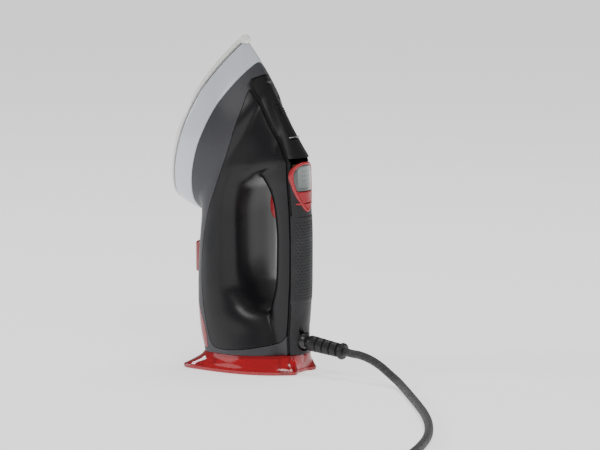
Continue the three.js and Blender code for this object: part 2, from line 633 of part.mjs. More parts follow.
const tieAngle = THREE.MathUtils.degToRad(150);

// A flat band round the coil's section.
function makeTie() {
  const band = (radial, vertical, halfWidth) => new THREE.BoxGeometry(
    coilOuter - coilInner + 2 * radial, 2 * halfWidth, coilTop - coilLift + 2 * vertical);
  const loop = cut(toSolid(band(1.4, 0.8, 5)), toSolid(band(0.8, gap, 6)));
  return loop.translate([coilMiddle, 0, (coilTop + coilLift) / 2])
    .rotate([0, 0, THREE.MathUtils.radToDeg(tieAngle)]).translate([coilCentre.x, coilCentre.y, 0]);
}

// The tail and the plug are worked out below the coil and then swung round its middle to their place.
const leaving = (solid) => solid.translate([-coilCentre.x, -coilCentre.y, 0])
  .rotate([0, 0, 70]).translate([coilCentre.x, coilCentre.y, 0]);
const tailStart = coilCentre.x - 28;
const tailRoute = [
  [tailStart, tailY, coilTop - cordRadius - 0.1], [tailStart - 7, tailY, 10.4], [plugEntry.x + 0.5,
  tailY, plugEntry.z],
];
const makeCordTail = () => leaving(tube(tailRoute, cordRadius, 8, 4));

// A three-pin plug on its back, pins up, the cord in its end wall.
const plugThick = 17;
const plugLength = 46;
const plugHalf = 25;

function makePlugBody() {
  const outline = new THREE.Shape();
  outline.moveTo(0, -plugHalf + 9);
  outline.quadraticCurveTo(0, -plugHalf + 1, -9, -plugHalf);
  outline.lineTo(-plugLength + 16, -plugHalf);
  outline.quadraticCurveTo(-plugLength, -plugHalf + 6, -plugLength, 0);
  outline.quadraticCurveTo(-plugLength, plugHalf - 6, -plugLength + 16, plugHalf);
  outline.lineTo(-9, plugHalf);
  outline.quadraticCurveTo(0, plugHalf - 1, 0, plugHalf - 9);
  const geometry = new THREE.ExtrudeGeometry(outline, {
    depth: plugThick - 2, bevelThickness: 1, bevelSize: 1, bevelOffset: -1, bevelSegments: 1,
      curveSegments: 5,
  });
  const body = toSolid(geometry.translate(plugEntry.x - 3, plugEntry.y, 1.1));
  const sleeve = rod(at(plugEntry.x - 5, plugEntry.y, plugEntry.z), plugEntry, 6, 5.2, 14);
  return leaving(cut(join(body, sleeve), ...plugPins.map((pin) => pinBlock(pin, gap))));
}

// Pins as [distance from the cord's wall, side, half size along, half size across, height, depth in the body].
const plugPins = [
  { name: "pin_earth", back: 37.5, side: 0, alongHalf: 4, acrossHalf: 2, height: 22.7 },
  { name: "pin_live", back: 15.3, side: 11.1, alongHalf: 2, acrossHalf: 3.2, height: 17.7 },
  { name: "pin_neutral", back: 15.3, side: -11.1, alongHalf: 2, acrossHalf: 3.2, height: 17.7 },
];

function pinBlock({ back, side, alongHalf, acrossHalf, height }, grow) {
  const x = plugEntry.x - 3 - back;
  const y = plugEntry.y + side;
  const base = 0.1 + plugThick - 6;
  return box(x - alongHalf - grow, x + alongHalf + grow, y - acrossHalf - grow, y + acrossHalf + grow,
    base - grow, 0.1 + plugThick + height);
}

// ---------------------------------------------------------------- assembling the group
const finishes = {
  ceramic: { color: 0xe9e8e4, roughness: 0.35, metalness: 0 },
  skirtGrey: { color: 0xbfc6d0, roughness: 0.4, metalness: 0 },
  satinGrey: { color: 0x3a3a3f, roughness: 0.5, metalness: 0 },
  glossBlack: { color: 0x151517, roughness: 0.25, metalness: 0 },
  softBlack: { color: 0x202022, roughness: 0.75, metalness: 0 },
  clearRed: { color: 0xc01226, roughness: 0.12, metalness: 0 },
  gelRed: { color: 0xd01a2c, roughness: 0.3, metalness: 0 },
  aluminium: { color: 0xb8babd, roughness: 0.45, metalness: 0.9 },
  steel: { color: 0x9c9fa3, roughness: 0.3, metalness: 1 },
  brass: { color: 0xb8964a, roughness: 0.35, metalness: 1 },
  rubber: { color: 0x1b1b1c, roughness: 0.85, metalness: 0 },
  innerWhite: { color: 0xdedad0, roughness: 0.6, metalness: 0 },
  screen: { color: 0x6f7f7a, roughness: 0.1, metalness: 0 },
};

const iron = new THREE.Group();

function add(name, finish, solid) {
  const mesh = new THREE.Mesh(toGeometry(solid), new THREE.MeshStandardMaterial(finishes[finish]));
  mesh.name = name;
  iron.add(mesh);
}

add("soleplate", "ceramic", makeSoleplate());
add("sole_gasket", "rubber", makeSoleGasket());
add("skirt", "skirtGrey", makeSkirt());
add("steam_chamber", "aluminium", makeSteamChamber());
add("heating_element", "steel", makeHeatingElement());
add("chamber_cover", "aluminium", makeChamberCover());
add("thermostat", "steel", makeThermostat());
add("thermal_fuse", "innerWhite", makeThermalFuse());
add("steam_valve", "brass", makeSteamValve());
add("heat_shield", "steel", makeHeatShield());
add("water_tank", "clearRed", makeWaterTank());
add("tank_stopper", "gelRed", makeTankStopper());
add("tank_latch", "gelRed", makeTankLatch());
add("latch_spring_left", "steel", makeLatchSpring(-1));
add("latch_spring_right", "steel", makeLatchSpring(1));
add("latch_frame", "innerWhite", makeLatchFrame());
const frontShell = shell.intersect(frontRegion);
const lowCrown = crownShell.intersect(band(0, crownBend));
add("casing", "satinGrey", largest(cut(frontShell, bodyRegion(0), tankSolid(gap), latchSolid(gap))));
add("body_shell", "glossBlack", largest(cut(frontShell.intersect(bodyRegion(gap)), triggerWindow)));
add("handle_cover", "softBlack", largest(cut(lowCrown, teardrop(gap), ballSpace)));
add("spine_cover", "softBlack", largest(cut(spineShell, flapBlock(0.35), flapPinHole(0.9), nozzleHole)));
add("filler_flap", "softBlack", makeFlap());
add("flap_pin", "steel", makeFlapPin());
add("filler_neck", "innerWhite", makeFillerNeck());
add("spray_nozzle", "softBlack", makeSprayNozzle());
add("display_bezel", "gelRed", largest(makeBezel()));
add("display_lens", "screen", largest(makeLens()));
add("key_up", "gelRed", makeKey(keyHigh));
add("key_down", "gelRed", makeKey(keyLow));
add("display_board", "innerWhite", box(52.6, 54.2, -9.5, 9.5, 142, 185));
add("steam_trigger", "gelRed", makeTrigger());
add("trigger_pin", "steel", makeTriggerPin());
add("trigger_spring", "steel", makeTriggerSpring());
add("steam_switch", "innerWhite", makeSteamSwitch());
add("heel_base", "clearRed", makeHeel());
footSpots.forEach((spot, i) => add(`heel_foot_${i + 1}`, "rubber", makeFoot(spot)));
add("cord_ball", "softBlack", makeCordBall());
add("strain_relief", "softBlack", makeStrainRelief());
add("ball_clamp", "innerWhite", makeBallClamp());
add("terminal_block", "innerWhite", makeTerminalBlock());
add("groove_trim_left", "rubber", makeGrooveTrim(-1));
add("groove_trim_right", "rubber", makeGrooveTrim(1));
add("base_plate", "innerWhite", makeBasePlate());
heelScrews.forEach((spot, i) => add(`heel_screw_${i + 1}`, "steel", makeHeelScrew(spot)));
add("water_pump", "innerWhite", makePump());
add("intake_hose", "rubber", makeIntakeHose());
add("steam_hose", "rubber", makeSteamHose());
add("control_board", "innerWhite", makeControlBoard());
add("cord", "rubber", makeCord());
add("cord_coil", "rubber", makeCoil());
add("cord_tie", "rubber", makeTie());
add("cord_tail", "rubber", makeCordTail());
add("plug_body", "rubber", makePlugBody());
plugPins.forEach((pin) => add(pin.name, "brass", leaving(pinBlock(pin, 0))));

export default iron;
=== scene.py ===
import json
import math

import bmesh
import bpy
import numpy as np
from mathutils import Matrix, Vector


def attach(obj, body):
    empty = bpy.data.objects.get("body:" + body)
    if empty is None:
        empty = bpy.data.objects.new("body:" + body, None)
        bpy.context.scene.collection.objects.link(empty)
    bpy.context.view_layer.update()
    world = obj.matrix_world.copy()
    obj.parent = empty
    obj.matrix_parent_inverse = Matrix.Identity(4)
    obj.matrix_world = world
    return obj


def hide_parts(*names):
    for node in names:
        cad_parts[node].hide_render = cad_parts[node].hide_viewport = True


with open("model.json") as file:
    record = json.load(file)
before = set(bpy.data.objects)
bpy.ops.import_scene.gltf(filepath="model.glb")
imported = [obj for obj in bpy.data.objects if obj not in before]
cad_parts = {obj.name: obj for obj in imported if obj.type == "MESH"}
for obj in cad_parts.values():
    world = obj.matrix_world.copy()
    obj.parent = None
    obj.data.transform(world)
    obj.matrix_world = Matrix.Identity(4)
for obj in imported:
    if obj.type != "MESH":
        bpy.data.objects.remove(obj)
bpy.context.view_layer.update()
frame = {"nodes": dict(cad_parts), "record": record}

# A steam iron on its heel. Shapes are worked out in millimetres and turned to metres as meshes are made.
# +Z is up through the nose, -X is the sole side, +X is the handle side.
scene = bpy.context.scene
far = 90.0  # beyond the iron on every side


def stageNote(text):
    print("scene:", text)


# Camera
camera = {"place": (1.1725, -1.5969, 0.4053), "target": (0.03645, 0.02552, 0.127), "lens": 134.8}


def makeCamera():
    data = bpy.data.cameras.new("camera")
    data.lens = camera["lens"]
    data.clip_start = 0.05
    data.clip_end = 30
    made = bpy.data.objects.new("camera", data)
    scene.collection.objects.link(made)
    made.location = camera["place"]
    aim = Vector(camera["target"]) - made.location
    made.rotation_euler = aim.to_track_quat("-Z", "Y").to_euler()
    scene.camera = made


makeCamera()
stageNote("camera")

# Mesh helpers


def meshOf(name, points, faces, uv=None):
    mesh = bpy.data.meshes.new(name)
    mesh.from_pydata((np.asarray(points, float) / 1000).tolist(), [], faces)
    if uv is not None:
        layer = mesh.uv_layers.new(name="UVMap")
        layer.data.foreach_set("uv", np.asarray(uv, np.float32).ravel())
    work = bmesh.new()
    work.from_mesh(mesh)
    bmesh.ops.recalc_face_normals(work, faces=work.faces)
    work.to_mesh(mesh)
    work.free()
    made = bpy.data.objects.new(name, mesh)
    scene.collection.objects.link(made)
    return made


def ringMesh(name, rings, capped=True, uv=None):  # a skin over rings of equal length
    rings = np.asarray(rings, float)
    rows, count = rings.shape[:2]
    index = np.arange(rows * count).reshape(rows, count)
    if not capped:
        index = np.vstack([index, index[:1]])  # the last ring joins the first
    turned = np.roll(index, -1, axis=1)
    quads = np.stack([index[:-1], turned[:-1], turned[1:], index[1:]], axis=-1).reshape(-1, 4)
    faces = quads.tolist()
    if capped:
        faces += [index[0][::-1].tolist(), index[-1].tolist()]
    return meshOf(name, rings.reshape(-1, 3), faces, uv)


def settle(piece):  # turns a piece's modifiers into its mesh
    ready = piece.evaluated_get(bpy.context.evaluated_depsgraph_get())
    mesh = bpy.data.meshes.new_from_object(ready)
    piece.modifiers.clear()
    piece.data = mesh
    return piece


def discard(*pieces):
    for piece in pieces:
        bpy.data.objects.remove(piece, do_unlink=True)


def combine(piece, operation, *tools, keep=False):
    for tool in tools:
        step = piece.modifiers.new("shape", "BOOLEAN")
        step.operation = operation
        step.solver = "MANIFOLD"
        step.object = tool
        settle(piece)
    if not keep:
        discard(*tools)
    return piece


def cutOut(piece, *tools):
    return combine(piece, "DIFFERENCE", *tools)


def joinOn(piece, *tools):
    return combine(piece, "UNION", *tools)


def within(piece, *tools):
    return combine(piece, "INTERSECT", *tools)


def copyOf(piece, name):
    made = bpy.data.objects.new(name, piece.data.copy())
    scene.collection.objects.link(made)
    return made


def addModifier(piece, kind, settings):
    step = piece.modifiers.new(kind.lower(), kind)
    for key, value in settings.items():
        setattr(step, key, value)
    return piece


def remesh(piece, size, rounds=0):
    addModifier(piece, "REMESH", {"mode": "VOXEL", "voxel_size": size / 1000, "use_smooth_shade": True})
    if rounds:
        addModifier(piece, "SMOOTH", {"factor": 0.5, "iterations": rounds})
    return settle(piece)


def soften(piece, width, segments=2, angle=35):
    addModifier(piece, "BEVEL", {
        "width": width / 1000, "segments": segments, "limit_method": "ANGLE",
        "angle_limit": math.radians(angle), "harden_normals": False})
    return settle(piece)


def shade(piece, angle=38):
    mesh = piece.data
    mesh.polygons.foreach_set("use_smooth", np.ones(len(mesh.polygons), bool))
    mesh.set_sharp_from_angle(angle=math.radians(angle))
    return piece


def largest(piece):  # keeps the biggest loose part of a mesh
    work = bmesh.new()
    work.from_mesh(piece.data)
    work.verts.ensure_lookup_table()
    group = [-1] * len(work.verts)
    sizes = []
    for start in work.verts:
        if group[start.index] >= 0:
            continue
        label = len(sizes)
        group[start.index] = label
        waiting = [start]
        size = 0
        while waiting:
            here = waiting.pop()
            size += 1
            for edge in here.link_edges:
                there = edge.other_vert(here)
                if group[there.index] < 0:
                    group[there.index] = label
                    waiting.append(there)
        sizes.append(size)
    best = sizes.index(max(sizes))
    spare = [v for v in work.verts if group[v.index] != best]
    bmesh.ops.delete(work, geom=spare, context="VERTS")
    work.to_mesh(piece.data)
    work.free()
    return piece


def prism(points, halfWidth=far, name="prism"):  # an outline in X and Z drawn out along Y
    flat = np.asarray(points, float)
    rings = [np.insert(flat, 1, y, axis=1) for y in (-halfWidth, halfWidth)]
    return ringMesh(name, rings)


def block(x0, x1, y0, y1, z0, z1, name="block"):
    square = np.array([[x0, y0], [x1, y0], [x1, y1], [x0, y1]])
    return ringMesh(name, [np.column_stack([square, np.full(4, z)]) for z in (z0, z1)])


def frameAlong(along):
    along = np.asarray(along, float) / np.linalg.norm(along)
    side = np.cross(along, [0, 0, 1] if abs(along[2]) < 0.9 else [0, 1, 0])
    side /= np.linalg.norm(side)
    return along, side, np.cross(along, side)


def turned(start, along, profile, sides=48, name="turned"):  # profile is [distance along, radius]
    along, side, other = frameAlong(along)
    angle = np.arange(sides) * 2 * math.pi / sides
    round_ = np.cos(angle)[:, None] * side + np.sin(angle)[:, None] * other
    rings = [np.asarray(start) + along * a + round_ * r for a, r in profile]
    return ringMesh(name, rings)


def rod(start, end, r0, r1=None, sides=32):
    span = np.asarray(end, float) - np.asarray(start, float)
    length = np.linalg.norm(span)
    return turned(start, span, [(0, r0), (length, r0 if r1 is None else r1)], sides, "rod")


def ball(centre, radii, rows=24, sides=40):
    angle = np.linspace(-math.pi / 2, math.pi / 2, rows + 1)[1:-1]
    turn = np.arange(sides) * 2 * math.pi / sides
    rings = [np.column_stack([
        centre[0] + radii[0] * math.cos(a) * np.cos(turn),
        centre[1] + radii[1] * math.cos(a) * np.sin(turn),
        np.full(sides, centre[2] + radii[2] * math.sin(a))]) for a in angle]
    return ringMesh("ball", rings)


# Curves
def closedCurve(knots, steps):  # smooth closed line, evenly shared between the knots
    knots = np.asarray(knots, float)
    count = len(knots)
    t = np.arange(steps) * count / steps
    i = np.floor(t).astype(int)
    t = (t - i)[:, None]
    p = [knots[(i + k) % count] for k in (-1, 0, 1, 2)]
    d = [np.maximum(np.linalg.norm(p[k + 1] - p[k], axis=1, keepdims=True) ** 0.5, 1e-6) for k in range(3)]
    m1 = (p[1] - p[0]) / d[0] - (p[2] - p[0]) / (d[0] + d[1]) + (p[2] - p[1]) / d[1]
    m2 = (p[2] - p[1]) / d[1] - (p[3] - p[1]) / (d[1] + d[2]) + (p[3] - p[2]) / d[2]
    return cubic(p[1], p[2], m1 * d[1], m2 * d[1], t)


def cubic(a, b, slopeA, slopeB, t):
    return ((2 * t**3 - 3 * t**2 + 1) * a + (t**3 - 2 * t**2 + t) * slopeA
            + (3 * t**2 - 2 * t**3) * b + (t**3 - t**2) * slopeB)


def openCurve(knots, perSpan):
    knots = np.asarray(knots, float)
    ends = np.vstack([2 * knots[:1] - knots[1:2], knots, 2 * knots[-1:] - knots[-2:-1]])
    t = np.arange(perSpan)[:, None] / perSpan
    parts = []
    for i in range(1, len(knots)):
        p = ends[i - 1:i + 3]
        d = np.maximum(np.linalg.norm(np.diff(p, axis=0), axis=1) ** 0.5, 1e-6)
        m1 = (p[1] - p[0]) / d[0] - (p[2] - p[0]) / (d[0] + d[1]) + (p[2] - p[1]) / d[1]
        m2 = (p[2] - p[1]) / d[1] - (p[3] - p[1]) / (d[1] + d[2]) + (p[3] - p[2]) / d[2]
        parts.append(cubic(p[1], p[2], m1 * d[1], m2 * d[1], t))
    return np.vstack([*parts, knots[-1:]])


def throughRows(heights, values, at):  # a smooth line through each column that never overshoots
    heights = np.asarray(heights, float)
    values = np.asarray(values, float)
    gaps = np.diff(heights)[:, None]
    slope = np.diff(values, axis=0) / gaps
    product = slope[:-1] * slope[1:]
    total = slope[:-1] + slope[1:]
    middle = np.where(product > 0, 2 * product / np.where(total == 0, 1, total), 0)
    tangent = np.vstack([slope[:1], middle, slope[-1:]])
    i = np.clip(np.searchsorted(heights, at, side="right") - 1, 0, len(heights) - 2)
    t = (at - heights[i])[:, None] / gaps[i]
    return cubic(values[i], values[i + 1], tangent[i] * gaps[i], tangent[i + 1] * gaps[i], t)


def fullOutline(half, steps):  # mirrors a half outline given from front to back
    half = np.asarray(half, float)
    there = half * [1, -1]
    back = half[-2:0:-1]
    return closedCurve(np.vstack([there, back]), steps)


def inset(outline, depth):  # brings the sides of a flat outline in, about its middle
    low, high = outline.min(axis=0), outline.max(axis=0)
    centre = (low + high) / 2
    return centre + (outline - centre) * (1 - 2 * depth / (high[1] - low[1]))


def offsetLine(line, distance, closed=False):  # to the left of the way it runs
    line = np.asarray(line, float)
    if closed:
        run = np.roll(line, -1, axis=0) - np.roll(line, 1, axis=0)
    else:
        run = np.gradient(line, axis=0)
    run /= np.linalg.norm(run, axis=1, keepdims=True)
    return line + np.column_stack([-run[:, 1], run[:, 0]]) * distance


# Shader expressions


class Value:  # a shader socket that takes part in expressions
    def __init__(self, paint, socket):
        self.paint = paint
        self.socket = socket

    def math(self, operation, *others, first=None):
        values = [first if first is not None else self, *others]
        if first is not None:
            values.append(self)
        return self.paint.node("ShaderNodeMath", {"operation": operation}, dict(enumerate(values)))

    def __add__(self, other):
        return self.math("ADD", other)

    def __radd__(self, other):
        return self.math("ADD", other)

    def __sub__(self, other):
        return self.math("SUBTRACT", other)

    def __rsub__(self, other):
        return self.math("SUBTRACT", first=other)

    def __mul__(self, other):
        return self.math("MULTIPLY", other)

    def __rmul__(self, other):
        return self.math("MULTIPLY", other)

    def __truediv__(self, other):
        return self.math("DIVIDE", other)

    def __rtruediv__(self, other):
        return self.math("DIVIDE", first=other)

    def __pow__(self, other):
        return self.math("POWER", other)

    def __gt__(self, other):
        return self.math("GREATER_THAN", other)

    def __lt__(self, other):
        return self.math("LESS_THAN", other)

    def wave(self):
        return self.math("SINE")

    def size(self):
        return self.math("ABSOLUTE")

    def most(self, other):
        return self.math("MAXIMUM", other)

    def fade(self, low, high):
        return self.paint.node(
            "ShaderNodeMapRange", {"interpolation_type": "SMOOTHSTEP"},
            {"Value": self, "From Min": low, "From Max": high})


class Paint:  # one material's node tree
    def __init__(self, name):
        self.material = bpy.data.materials.new(name)
        self.material.use_nodes = True
        self.tree = self.material.node_tree
        self.tree.nodes.clear()

    def node(self, kind, settings=None, values=None, output=0):
        made = self.tree.nodes.new(kind)
        for key, value in (settings or {}).items():
            if key == "stops":
                self.setStops(made.color_ramp, value)
            else:
                setattr(made, key, value)
        for key, value in (values or {}).items():
            self.feed(made.inputs[key], value)
        return Value(self, made.outputs[output])

    def feed(self, socket, value):
        if isinstance(value, Value):
            self.tree.links.new(value.socket, socket)
        elif isinstance(value, (tuple, list)) and socket.type == "RGBA" and len(value) == 3:
            socket.default_value = (*value, 1)
        else:
            socket.default_value = value

    def setStops(self, ramp, stops):
        while len(ramp.elements) > 1:
            ramp.elements.remove(ramp.elements[-1])
        for number, (place, colour) in enumerate(stops):
            stop = ramp.elements[0] if number == 0 else ramp.elements.new(place)
            stop.position = place
            stop.color = (*colour, 1)

    def place(self):
        return self.node("ShaderNodeTexCoord", output="Object")

    def noise(self, scale, detail=2.0, at=None, rough=0.5):
        values = {"Scale": scale, "Detail": detail, "Roughness": rough, "Vector": at or self.place()}
        return self.node("ShaderNodeTexNoise", {}, values, "Fac")

    def cells(self, scale, at=None, output="Distance"):
        return self.node("ShaderNodeTexVoronoi", {}, {"Scale": scale, "Vector": at or self.place()}, output)

    def axis(self, vector, name):
        return self.node("ShaderNodeSeparateXYZ", {}, {"Vector": vector}, name)

    def blend(self, amount, low, high):
        return self.node("ShaderNodeMix", {"data_type": "RGBA"}, {"Factor": amount, 6: low, 7: high}, 2)

    def bump(self, height, depth, strength=1.0):  # depth in millimetres
        values = {"Height": height, "Distance": depth / 1000, "Strength": strength}
        return self.node("ShaderNodeBump", {}, values)

    def finish(self, **sockets):
        shader = self.tree.nodes.new("ShaderNodeBsdfPrincipled")
        for key, value in sockets.items():
            name = "".join(" " + c if c.isupper() else c for c in key).strip().title()
            self.feed(shader.inputs[name.replace("Ior", "IOR")], value)
        out = self.tree.nodes.new("ShaderNodeOutputMaterial")
        self.tree.links.new(shader.outputs[0], out.inputs[0])
        return self.material


def grained(name, colour, roughness, grain, depth, shine=0.0, shift=0.25, specular=0.5):
    # moulded plastic: fine grain, slow drift of tone, and fine scuffs that vary the roughness
    paint = Paint(name)
    fine = paint.noise(grain, 4.0, rough=0.6)
    slow = paint.noise(22.0, 3.0)
    scuffs = paint.noise(900.0, 2.0)
    darker = tuple(c * (1 - shift) for c in colour)
    lighter = tuple(min(1.0, c * (1 + shift)) for c in colour)
    tone = paint.blend(slow, darker, lighter)
    rough = roughness + (slow - 0.5) * 0.12 + (scuffs - 0.5) * 0.06
    return paint.finish(
        baseColor=tone, roughness=rough, normal=paint.bump(fine, depth),
        coatWeight=shine, coatRoughness=0.12, specularIorLevel=specular)


def makeCeramic():
    paint = Paint("ceramic")
    speckle = paint.cells(1500.0).fade(0.16, 0.1)
    slow = paint.noise(30.0, 3.0)
    white = paint.blend(slow, (0.80, 0.79, 0.765), (0.9, 0.89, 0.87))
    tone = paint.blend(speckle * 0.35, white, (0.62, 0.61, 0.6))
    return paint.finish(
        baseColor=tone, roughness=0.24 + slow * 0.1, coatWeight=0.35, coatRoughness=0.08,
        normal=paint.bump(paint.noise(700.0, 3.0), 0.03))


def makeClearRed(name, colour, clear, rough):
    paint = Paint(name)
    slow = paint.noise(26.0, 2.0)
    tone = paint.blend(slow, tuple(c * 0.85 for c in colour), colour)
    return paint.finish(
        baseColor=tone, roughness=rough + slow * 0.05, transmissionWeight=clear, ior=1.49,
        coatWeight=0.5, coatRoughness=0.05, normal=paint.bump(paint.noise(120.0, 2.0), 0.05))


def makeRubber(name, colour, roughness):
    paint = Paint(name)
    grain = paint.noise(2400.0, 3.0)
    dust = paint.noise(60.0, 4.0).fade(0.45, 0.75)
    return paint.finish(
        baseColor=paint.blend(dust * 0.3, colour, tuple(c * 1.8 + 0.01 for c in colour)),
        roughness=roughness - dust * 0.08, normal=paint.bump(grain, 0.06), specularIorLevel=0.35)


def makeScreen():
    paint = Paint("screen")
    where = paint.place()
    y = paint.axis(where, "Y") * 1000
    z = paint.axis(where, "Z") * 1000
    frameMask = y.size().fade(9.4, 9.9).most((z - 174.5).size().fade(9.2, 9.8))
    rows = (z * 1.55).wave().fade(0.55, 0.75)
    bars = rows * (y.size() < 6.2) * ((z - 175.5).size() < 5.8) * ((y - 0.8).size() > 0.9)
    # painted light: the screen's grey-green is ramped lighter towards the top
    painted_light_tint = paint.blend((z - 162) / 24, (0.115, 0.14, 0.135), (0.2, 0.235, 0.225))
    lcd = paint.blend(bars * 0.4, painted_light_tint, (0.055, 0.07, 0.068))
    tone = paint.blend(frameMask * 0.75, lcd, (0.03, 0.032, 0.033))
    return paint.finish(baseColor=tone, roughness=0.09 + paint.noise(40.0) * 0.04, coatWeight=0.8,
                        coatRoughness=0.03)


def makeBraid():
    paint = Paint("cord_braid")
    where = paint.node("ShaderNodeUVMap", {"uv_map": "UVMap"})
    along = paint.axis(where, "X")
    round_ = paint.axis(where, "Y")
    one = ((along + round_ * 12) * 2 * math.pi).wave()
    two = ((along - round_ * 12) * 2 * math.pi).wave()
    over = one.most(two)
    fibre = paint.noise(5200.0, 2.0)
    fleck = ((along + round_ * 3) * 0.5 * math.pi).wave().fade(0.86, 0.95)
    tone = paint.blend(over * 0.5 + 0.5, (0.006, 0.006, 0.007), (0.04, 0.04, 0.043))
    tone = paint.blend(fleck * 0.18, tone, (0.16, 0.16, 0.17))
    return paint.finish(
        baseColor=tone, roughness=0.72 + fibre * 0.15, normal=paint.bump(over + fibre * 0.5, 0.22),
        sheenWeight=0.25, sheenRoughness=0.4)


def makeMetal(name, colour, roughness, streaks=(1, 1, 14)):
    paint = Paint(name)
    where = paint.node("ShaderNodeMapping", {}, {"Vector": paint.place(), "Scale": streaks})
    brushed = paint.noise(700.0, 3.0, where)
    tone = paint.blend(brushed, tuple(c * 0.8 for c in colour), colour)
    return paint.finish(baseColor=tone, metallic=1.0, roughness=roughness + brushed * 0.15,
                        normal=paint.bump(brushed, 0.02))


def makeBoard():
    paint = Paint("board")
    tracks = paint.cells(260.0, output="Color")
    lines = paint.axis(tracks, "X").fade(0.45, 0.55)
    tone = paint.blend(lines * 0.5, (0.03, 0.13, 0.06), (0.3, 0.24, 0.08))
    return paint.finish(baseColor=tone, roughness=0.45)


finishes = {
    "ceramic": makeCeramic(),
    "skirt_grey": grained("skirt_grey", (0.56, 0.59, 0.65), 0.3, 1600.0, 0.02, 0.25, 0.03),
    "casing_grey": grained("casing_grey", (0.05, 0.05, 0.056), 0.42, 2600.0, 0.05, 0.0, 0.12, 0.3),
    "body_black": grained("body_black", (0.009, 0.009, 0.0105), 0.3, 2200.0, 0.025, 0.0, 0.12, 0.32),
    "grip_black": makeRubber("grip_black", (0.016, 0.016, 0.018), 0.5),
    "spine_grey": grained("spine_grey", (0.008, 0.008, 0.009), 0.4, 2600.0, 0.05, 0.0, 0.12, 0.25),
    "nozzle_black": grained("nozzle_black", (0.012, 0.012, 0.012), 0.3, 1500.0, 0.02),
    "clear_red": makeClearRed("clear_red", (0.5, 0.002, 0.01), 0.55, 0.07),
    "latch_red": grained("latch_red", (0.24, 0.006, 0.01), 0.3, 1800.0, 0.03, 0.2, 0.06),
    "trigger_red": grained("trigger_red", (0.36, 0.006, 0.012), 0.3, 1800.0, 0.03, 0.1, 0.06),
    "bezel_red": grained("bezel_red", (0.4, 0.016, 0.026), 0.28, 1800.0, 0.02, 0.2, 0.06),
    "key_red": grained("key_red", (0.36, 0.014, 0.022), 0.36, 2400.0, 0.05, 0.1, 0.08),
    "screen_glass": makeScreen(),
    "groove_rubber": makeRubber("groove_rubber", (0.004, 0.004, 0.004), 0.7),
    "foot_rubber": makeRubber("foot_rubber", (0.02, 0.02, 0.02), 0.75),
    "gasket_rubber": makeRubber("gasket_rubber", (0.012, 0.012, 0.013), 0.6),
    "cast_aluminium": makeMetal("cast_aluminium", (0.55, 0.55, 0.56), 0.42, (1, 1, 1)),
    "steel": makeMetal("steel", (0.5, 0.51, 0.52), 0.25),
    "brass": makeMetal("brass", (0.66, 0.5, 0.25), 0.22),
    "inner_plastic": grained("inner_plastic", (0.55, 0.53, 0.48), 0.5, 900.0, 0.05),
    "circuit_board": makeBoard(),
    "ball_black": grained("ball_black", (0.014, 0.014, 0.015), 0.33, 2000.0, 0.03, 0.1, 0.1),
    "relief_rubber": makeRubber("relief_rubber", (0.016, 0.016, 0.017), 0.45),
    "cord_textile": makeBraid(),
    "tie_black": makeRubber("tie_black", (0.02, 0.02, 0.02), 0.6),
    "plug_black": grained("plug_black", (0.014, 0.014, 0.015), 0.34, 1300.0, 0.07, 0.1, 0.1),
}
bodyOf = {node: name for name, nodes in frame["record"]["behaviour"]["bodies"].items() for node in nodes}
slotOf = {row["node"]: row["material_slot"] for row in frame["record"]["subparts"]}


def present(piece, node, *more, angle=38):  # names, paints and seats one finished piece
    piece.name = node + "_form"
    piece.data.materials.clear()
    piece.data.materials.append(finishes[slotOf[node]])
    shade(piece, angle)
    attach(piece, bodyOf[node])
    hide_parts(node, *more)
    return piece


def addDetail(piece, name, node):  # a further piece of the same sub-part
    present(piece, node)
    piece.name = name
    return piece


stageNote("finishes")

# Cord
cord = {
    "radius": 3.55, "ball": np.array([56, 0, 28.5]), "pitch": math.radians(6),
    "route": [
        [118, 0, 22.4], [129, -0.6, 20], [140, -2, 16], [151, -4.6, 10.8], [163, -9.6, 6.2],
        [178, -22.4, 3.9], [196, -41.6, 3.6], [220, -68, 3.6], [240, -91, 3.6], [262, -120, 3.6],
        [283, -155, 3.6], [299, -195, 3.6], [309.5, -238, 3.6], [315.3, -280, 3.6], [316.65, -316.4, 3.7],
    ],
    "coil": (270, -345), "outerRing": 46.65, "apart": 7.1, "enters": 0.0, "turns": 7.0556,
    "low": 4.5, "high": 11.6, "tail": [[255.7, 11.6], [242, 11.5], [235, 10.4], [227.5, 9.5]],
    "tailY": -391.65, "swing": math.radians(70), "step": 2.2, "sides": 24, "weave": 2.6,
}
reliefAlong = np.array([math.cos(cord["pitch"]), 0, -math.sin(cord["pitch"])])


def onRelief(distance):
    return cord["ball"] + reliefAlong * distance


def glide(t, start, end):  # eases from 0 to 1 between two values
    t = np.clip((t - start) / (end - start), 0, 1)
    return t * t * (3 - 2 * t)


def coilPoint(t):  # t counts the turns, inward on the lower layer and outward on the upper
    inward = sum(glide(t, k + 0.75, k + 0.95) for k in range(3))
    outward = sum(glide(t, k + 4.36, k + 4.56) for k in range(3))
    rise = glide(t, 3.43, 3.71)
    radius = cord["outerRing"] - cord["apart"] * (inward - outward)
    angle = cord["enters"] - 2 * math.pi * t
    return np.array([
        cord["coil"][0] + radius * math.cos(angle), cord["coil"][1] + radius * math.sin(angle),
        cord["low"] + (cord["high"] - cord["low"]) * rise])


def evenly(line, step):
    along = np.concatenate([[0], np.cumsum(np.linalg.norm(np.diff(line, axis=0), axis=1))])
    at = np.linspace(0, along[-1], int(along[-1] / step) + 1)
    return np.column_stack([np.interp(at, along, line[:, k]) for k in range(line.shape[1])]), along[-1]


def swung(points):  # the tail and plug are worked out below the coil, then swung round its middle
    cx, cy = cord["coil"]
    x, y, z = (np.asarray(points, float) - [cx, cy, 0]).T
    turn = cord["swing"]
    return np.column_stack([
        cx + x * math.cos(turn) - y * math.sin(turn), cy + x * math.sin(turn) + y * math.cos(turn), z])


def swingPiece(piece):
    for corner in piece.data.vertices:
        corner.co = swung([np.array(corner.co) * 1000])[0] / 1000
    return piece


